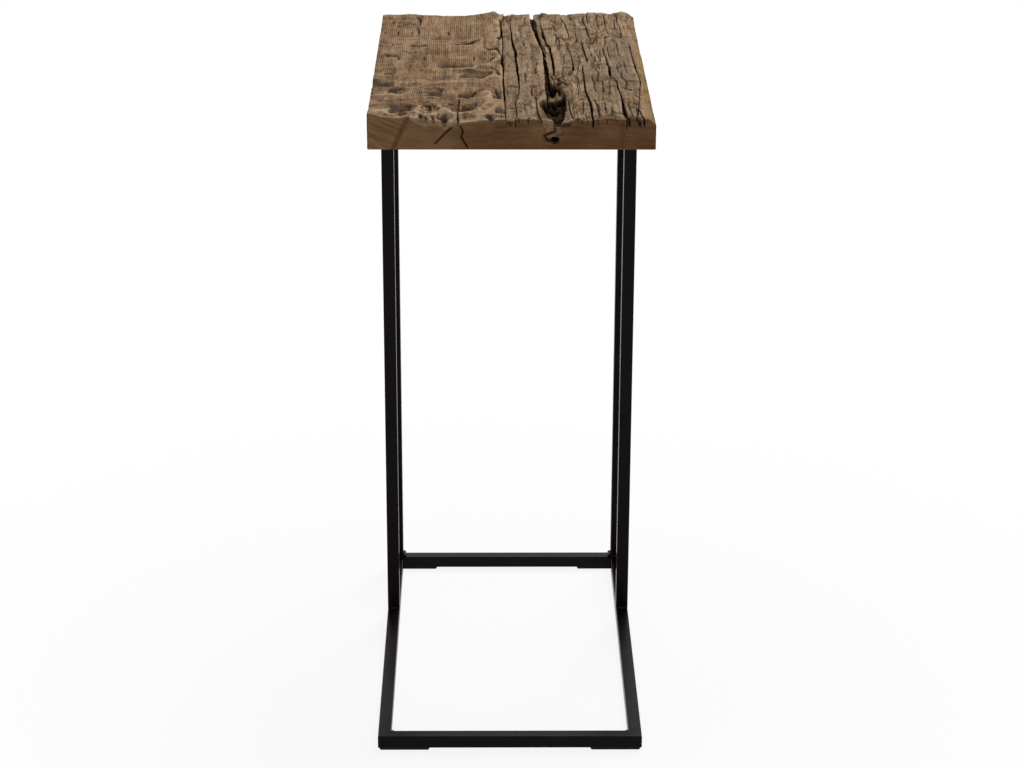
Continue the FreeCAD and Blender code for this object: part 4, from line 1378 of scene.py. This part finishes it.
finishes = {"slab": timber, "slab_screws": screw_steel}
for node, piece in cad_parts.items():
    finish = pad_rubber if node.startswith("foot_pad") else finishes.get(node, black_iron)
    give_finish(piece.data, finish)

old_slab(timber)


# Torn fibres in the main split

def fibre_recipe():
    """Tapering, slightly bent fibre along each guide line."""
    r = Recipe("torn_fibre", {"Fibre radius": fibre_radius * MM, "Steps": 9.0, "Bend": 0.9 * MM})
    line = r.curve("COUNT", "Count", r.size("Steps"))
    place = r.node("GeometryNodeInputPosition", {}, {})
    wander = r.stir({"noise_dimensions": "4D"},
                    {"Vector": place, "W": 3.7, "Scale": 160.0, "Detail": 2.0},
                    r.size("Bend") * 2.0)
    line = r.node("GeometryNodeSetPosition", {}, {"Geometry": line, "Offset": wander})
    share = r.node("GeometryNodeSplineParameter", {}, {}, "Factor")
    thick = r.node("GeometryNodeInputNamedAttribute", {"data_type": "FLOAT"}, {"Name": "thickness"})
    taper = 1.05 - share.math("POWER", 1.6)
    fibre = r.rod(line, taper * thick, 5, r.size("Fibre radius"))
    fibre = r.node("GeometryNodeStoreNamedAttribute",
                   {"data_type": "FLOAT_COLOR", "domain": "POINT"},
                   {"Geometry": fibre, "Name": "weather_and_shade", "Value": (0.12, 0.4, 0.8, 0.0)})
    r.end(fibre, timber)
    return r


def torn_fibres():
    points, lines, thicknesses = [], [], []
    for radius, run in splinters:
        first = len(points)
        lines += [(first + i, first + i + 1) for i in range(len(run) - 1)]
        points += [(x, y, slab_base + board_thickness - below) for x, y, below in run]
        thicknesses += [radius / fibre_radius] * len(run)
    fibres = fibre_recipe().run("torn_fibres", points, lines, timber, thickness=thicknesses)
    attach(fibres, "root")


torn_fibres()


# Weld beads

bead_radius = 2.15
bead_sink = 1.0
bead_end_gap = 1.2
bead_ripple_pitch = 1.5
bead_ripple_share = 0.10


def bead_recipe():
    """Rippled weld bead along each guide line."""
    r = Recipe("weld_bead", {"Bead radius": bead_radius * MM,
                             "Ripple pitch": bead_ripple_pitch * MM,
                             "Ripple share": bead_ripple_share})
    line = r.curve("LENGTH", "Length", r.size("Ripple pitch") / 4)
    along = r.node("GeometryNodeSplineParameter", {}, {}, "Length")
    share = r.node("GeometryNodeSplineParameter", {}, {}, "Factor")
    wave = (along / r.size("Ripple pitch") * (2 * math.pi)).math("SINE")
    wave = wave * r.size("Ripple share") + 1.0
    from_end = 0.5 - (share - 0.5).math("ABSOLUTE")
    taper = 0.62 + 0.38 * (from_end * 7.0).clamp()
    bead = r.rod(line, wave * taper, 12, r.size("Bead radius"))
    bead = r.node("GeometryNodeSetShadeSmooth", {}, {"Geometry": bead})
    r.end(bead, black_iron)
    return r


def upright_bead_lines(level, up):
    """Guide lines where the uprights meet a ring, above it or below it."""
    lines = []
    z = level + up * bead_sink
    for side in ("left", "right"):
        for place in ("front", "rear"):
            low, high = box_mm(f"upright_{place}_{side}")
            left, front, _ = low + bead_end_gap
            right, back, _ = high - bead_end_gap
            near, far = low - bead_sink, high + bead_sink
            lines.append([(left, near[1], z), (right, near[1], z)])
            if place == "front":
                lines.append([(left, far[1], z), (right, far[1], z)])
            else:
                x = far[0] if side == "left" else near[0]
                lines.append([(x, front, z), (x, back, z)])
    return lines


def corner_bead_lines(ring):
    """Guide lines in the four inner corners of a ring."""
    front, back, left, right = (box_mm(f"{ring}_bar_{side}")
                                for side in ("front", "back", "left", "right"))
    low, high = front[0][2] + bead_end_gap, front[1][2] - bead_end_gap
    return [[(x, y, low), (x, y, high)]
            for x in (left[1][0] + bead_sink, right[0][0] - bead_sink)
            for y in (front[1][1] + bead_sink, back[0][1] - bead_sink)]


def weld_beads():
    recipe = bead_recipe()
    ring_top = box_mm("floor_bar_left")[1][2]
    ring_base = box_mm("top_bar_left")[0][2]
    groups = {
        "foot_weld_beads": upright_bead_lines(ring_top, 1),
        "head_weld_beads": upright_bead_lines(ring_base, -1),
        "floor_ring_corner_welds": corner_bead_lines("floor"),
        "top_ring_corner_welds": corner_bead_lines("top"),
    }
    for node, lines in groups.items():
        points = [point for line in lines for point in line]
        pairs = [(2 * i, 2 * i + 1) for i in range(len(lines))]
        beads = recipe.run("rippled_" + node, points, pairs, black_iron)
        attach(beads, "root")
        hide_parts(node)


# Screws under the top ring

def screw_recipe(head_radius, head_height, shank_radius, shank_length):
    """Pan-head screw with a cross recess, head down, at each guide point."""
    r = Recipe("pan_head_screw", {"Head radius": head_radius * MM, "Head height": head_height * MM,
                                  "Shank radius": shank_radius * MM,
                                  "Shank length": shank_length * MM})
    radius, height, length = r.size("Head radius"), r.size("Head height"), r.size("Shank length")

    def moved(shape, z, turn=0.0):
        return r.node("GeometryNodeTransform", {},
                      {"Geometry": shape, "Translation": r.at(0.0, 0.0, z),
                       "Rotation": (0.0, 0.0, turn)})

    head = r.node("GeometryNodeMeshCone", {},
                  {"Vertices": 28, "Side Segments": 2, "Radius Top": radius,
                   "Radius Bottom": radius * 0.72, "Depth": height})
    slot = r.node("GeometryNodeMeshCube", {}, {"Size": r.at(radius * 1.15, radius * 0.26, height)})
    cross = r.join(*(moved(slot, height * -1, turn) for turn in (0.0, math.pi / 2)))
    head = r.node("GeometryNodeMeshBoolean", {"operation": "DIFFERENCE"},
                  {0: moved(head, height * -1), 1: cross})
    shank = r.node("GeometryNodeMeshCylinder", {},
                   {"Vertices": 20, "Radius": r.size("Shank radius"), "Depth": length})
    screw = r.join(head, moved(shank, length * 0.5))
    placed = r.node("GeometryNodeInstanceOnPoints", {}, {"Points": r.guides, "Instance": screw})
    r.end(placed, screw_steel)
    return r


def slab_screws():
    """Six screws, at the middles of the CAD node's separate solids."""
    widest_screw, tip_length, shank_share, same_level = 12, 4, 0.54, 0.05
    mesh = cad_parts["slab_screws"].data
    places = np.array([vertex.co for vertex in mesh.vertices]) / MM
    low, high = box_mm("slab_screws")
    seat = box_mm("top_bar_left")[0][2]
    at_seat = places[np.abs(places[:, 2] - seat) < same_level][:, :2]
    middles = []
    for place in at_seat:
        if not any(np.hypot(*(place - other)) < widest_screw for other in middles):
            close = at_seat[np.hypot(*(at_seat - place).T) < widest_screw]
            middles.append((close.min(0) + close.max(0)) / 2)
    head_radius = at_seat[:, 0].max() - max(middle[0] for middle in middles)
    recipe = screw_recipe(head_radius, seat - low[2], head_radius * shank_share,
                          high[2] - seat - tip_length)
    points = [(x, y, seat) for x, y in middles]
    screws = recipe.run("recessed_slab_screws", points, [], screw_steel)
    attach(screws, "root")
    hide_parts("slab_screws")


weld_beads()
slab_screws()


# Stage, light and camera

def floor_finish():
    """Pale floor that takes the table's shadow, and is shown nearly white."""
    f = Finish("pale_floor")
    f.set(Base_Color=(0.9, 0.9, 0.9, 1.0), Roughness=1.0, Specular_IOR_Level=0.0)
    away = f.node("ShaderNodeVectorMath", {"operation": "LENGTH"}, {0: f.place()}, "Value")
    share = f.seen("Camera", "Glossy", "Transmission") * (0.88 + away.above(0.25, 0.75) * 0.12)
    glow = f.node("ShaderNodeEmission", {}, {"Strength": 1.0})
    shown = f.node("ShaderNodeMixShader", {}, {0: share, 1: Value(f, f.shader.outputs[0]), 2: glow})
    f.feed(f.nodes["Material Output"].inputs["Surface"], shown)
    return f.material


def build_stage():
    reach, below_pads = 14.0, -0.1 * MM
    mesh = bpy.data.meshes.new("stage_floor")
    corners = [(x * reach, y * reach, below_pads) for x, y in ((-1, -1), (1, -1), (1, 1), (-1, 1))]
    mesh.from_pydata(corners, [], [(0, 1, 2, 3)])
    new_piece("stage_floor", mesh, floor_finish())


def build_world():
    """Even soft light, shown white to the camera and in reflections."""
    light_strength, shown_strength = 0.38, 1.0
    white = (1.0, 1.0, 1.0, 1.0)
    world = bpy.data.worlds.new("studio")
    world.use_nodes = True
    bpy.context.scene.world = world
    w = NodeMaker(world.node_tree)
    sky = w.nodes["Background"]
    w.feed(sky.inputs["Color"], white)
    w.feed(sky.inputs["Strength"], light_strength)
    shown = w.node("ShaderNodeBackground", {}, {"Color": white, "Strength": shown_strength})
    seen = w.seen("Camera", "Glossy", "Transmission")
    mixed = w.node("ShaderNodeMixShader", {}, {0: seen, 1: Value(w, sky.outputs[0]), 2: shown})
    w.feed(w.nodes["World Output"].inputs["Surface"], mixed)


def soft_lamp(name, place, target, size, watts):
    lamp = bpy.data.lights.new(name, "AREA")
    lamp.shape = "DISK"
    lamp.size = size
    lamp.energy = watts
    lit = bpy.data.objects.new(name, lamp)
    lit.location = place
    lit.rotation_euler = (Vector(target) - Vector(place)).to_track_quat("-Z", "Y").to_euler()
    bpy.context.scene.collection.objects.link(lit)


def photo_camera():
    """Camera at the photograph's angle: its place, and how far it looks down and is turned."""
    place = Vector((-22.142, -2522.914, 1271.697)) * MM
    down, turn, roll = 0.366456, 0.009989, 0.003153
    forward = Vector((math.sin(turn) * math.cos(down), math.cos(turn) * math.cos(down),
                      -math.sin(down)))
    level_right = Vector((math.cos(turn), -math.sin(turn), 0.0))
    level_up = level_right.cross(forward)
    right = math.cos(roll) * level_right + math.sin(roll) * level_up
    up = -math.sin(roll) * level_right + math.cos(roll) * level_up
    data = bpy.data.cameras.new("photo_camera")
    data.sensor_fit = "HORIZONTAL"
    data.sensor_width = 36.0
    data.lens = 93.015
    camera = bpy.data.objects.new("photo_camera", data)
    turned = Matrix((right, up, -forward)).transposed().to_4x4()
    camera.matrix_world = Matrix.Translation(place) @ turned
    bpy.context.scene.collection.objects.link(camera)
    bpy.context.scene.camera = camera


build_stage()
build_world()
soft_lamp("overhead", place=(0.5, 1.7, 2.6), target=(0.0, 0.0, 0.5), size=1.2, watts=57.0)
photo_camera()
bpy.context.scene.view_settings.view_transform = "Standard"
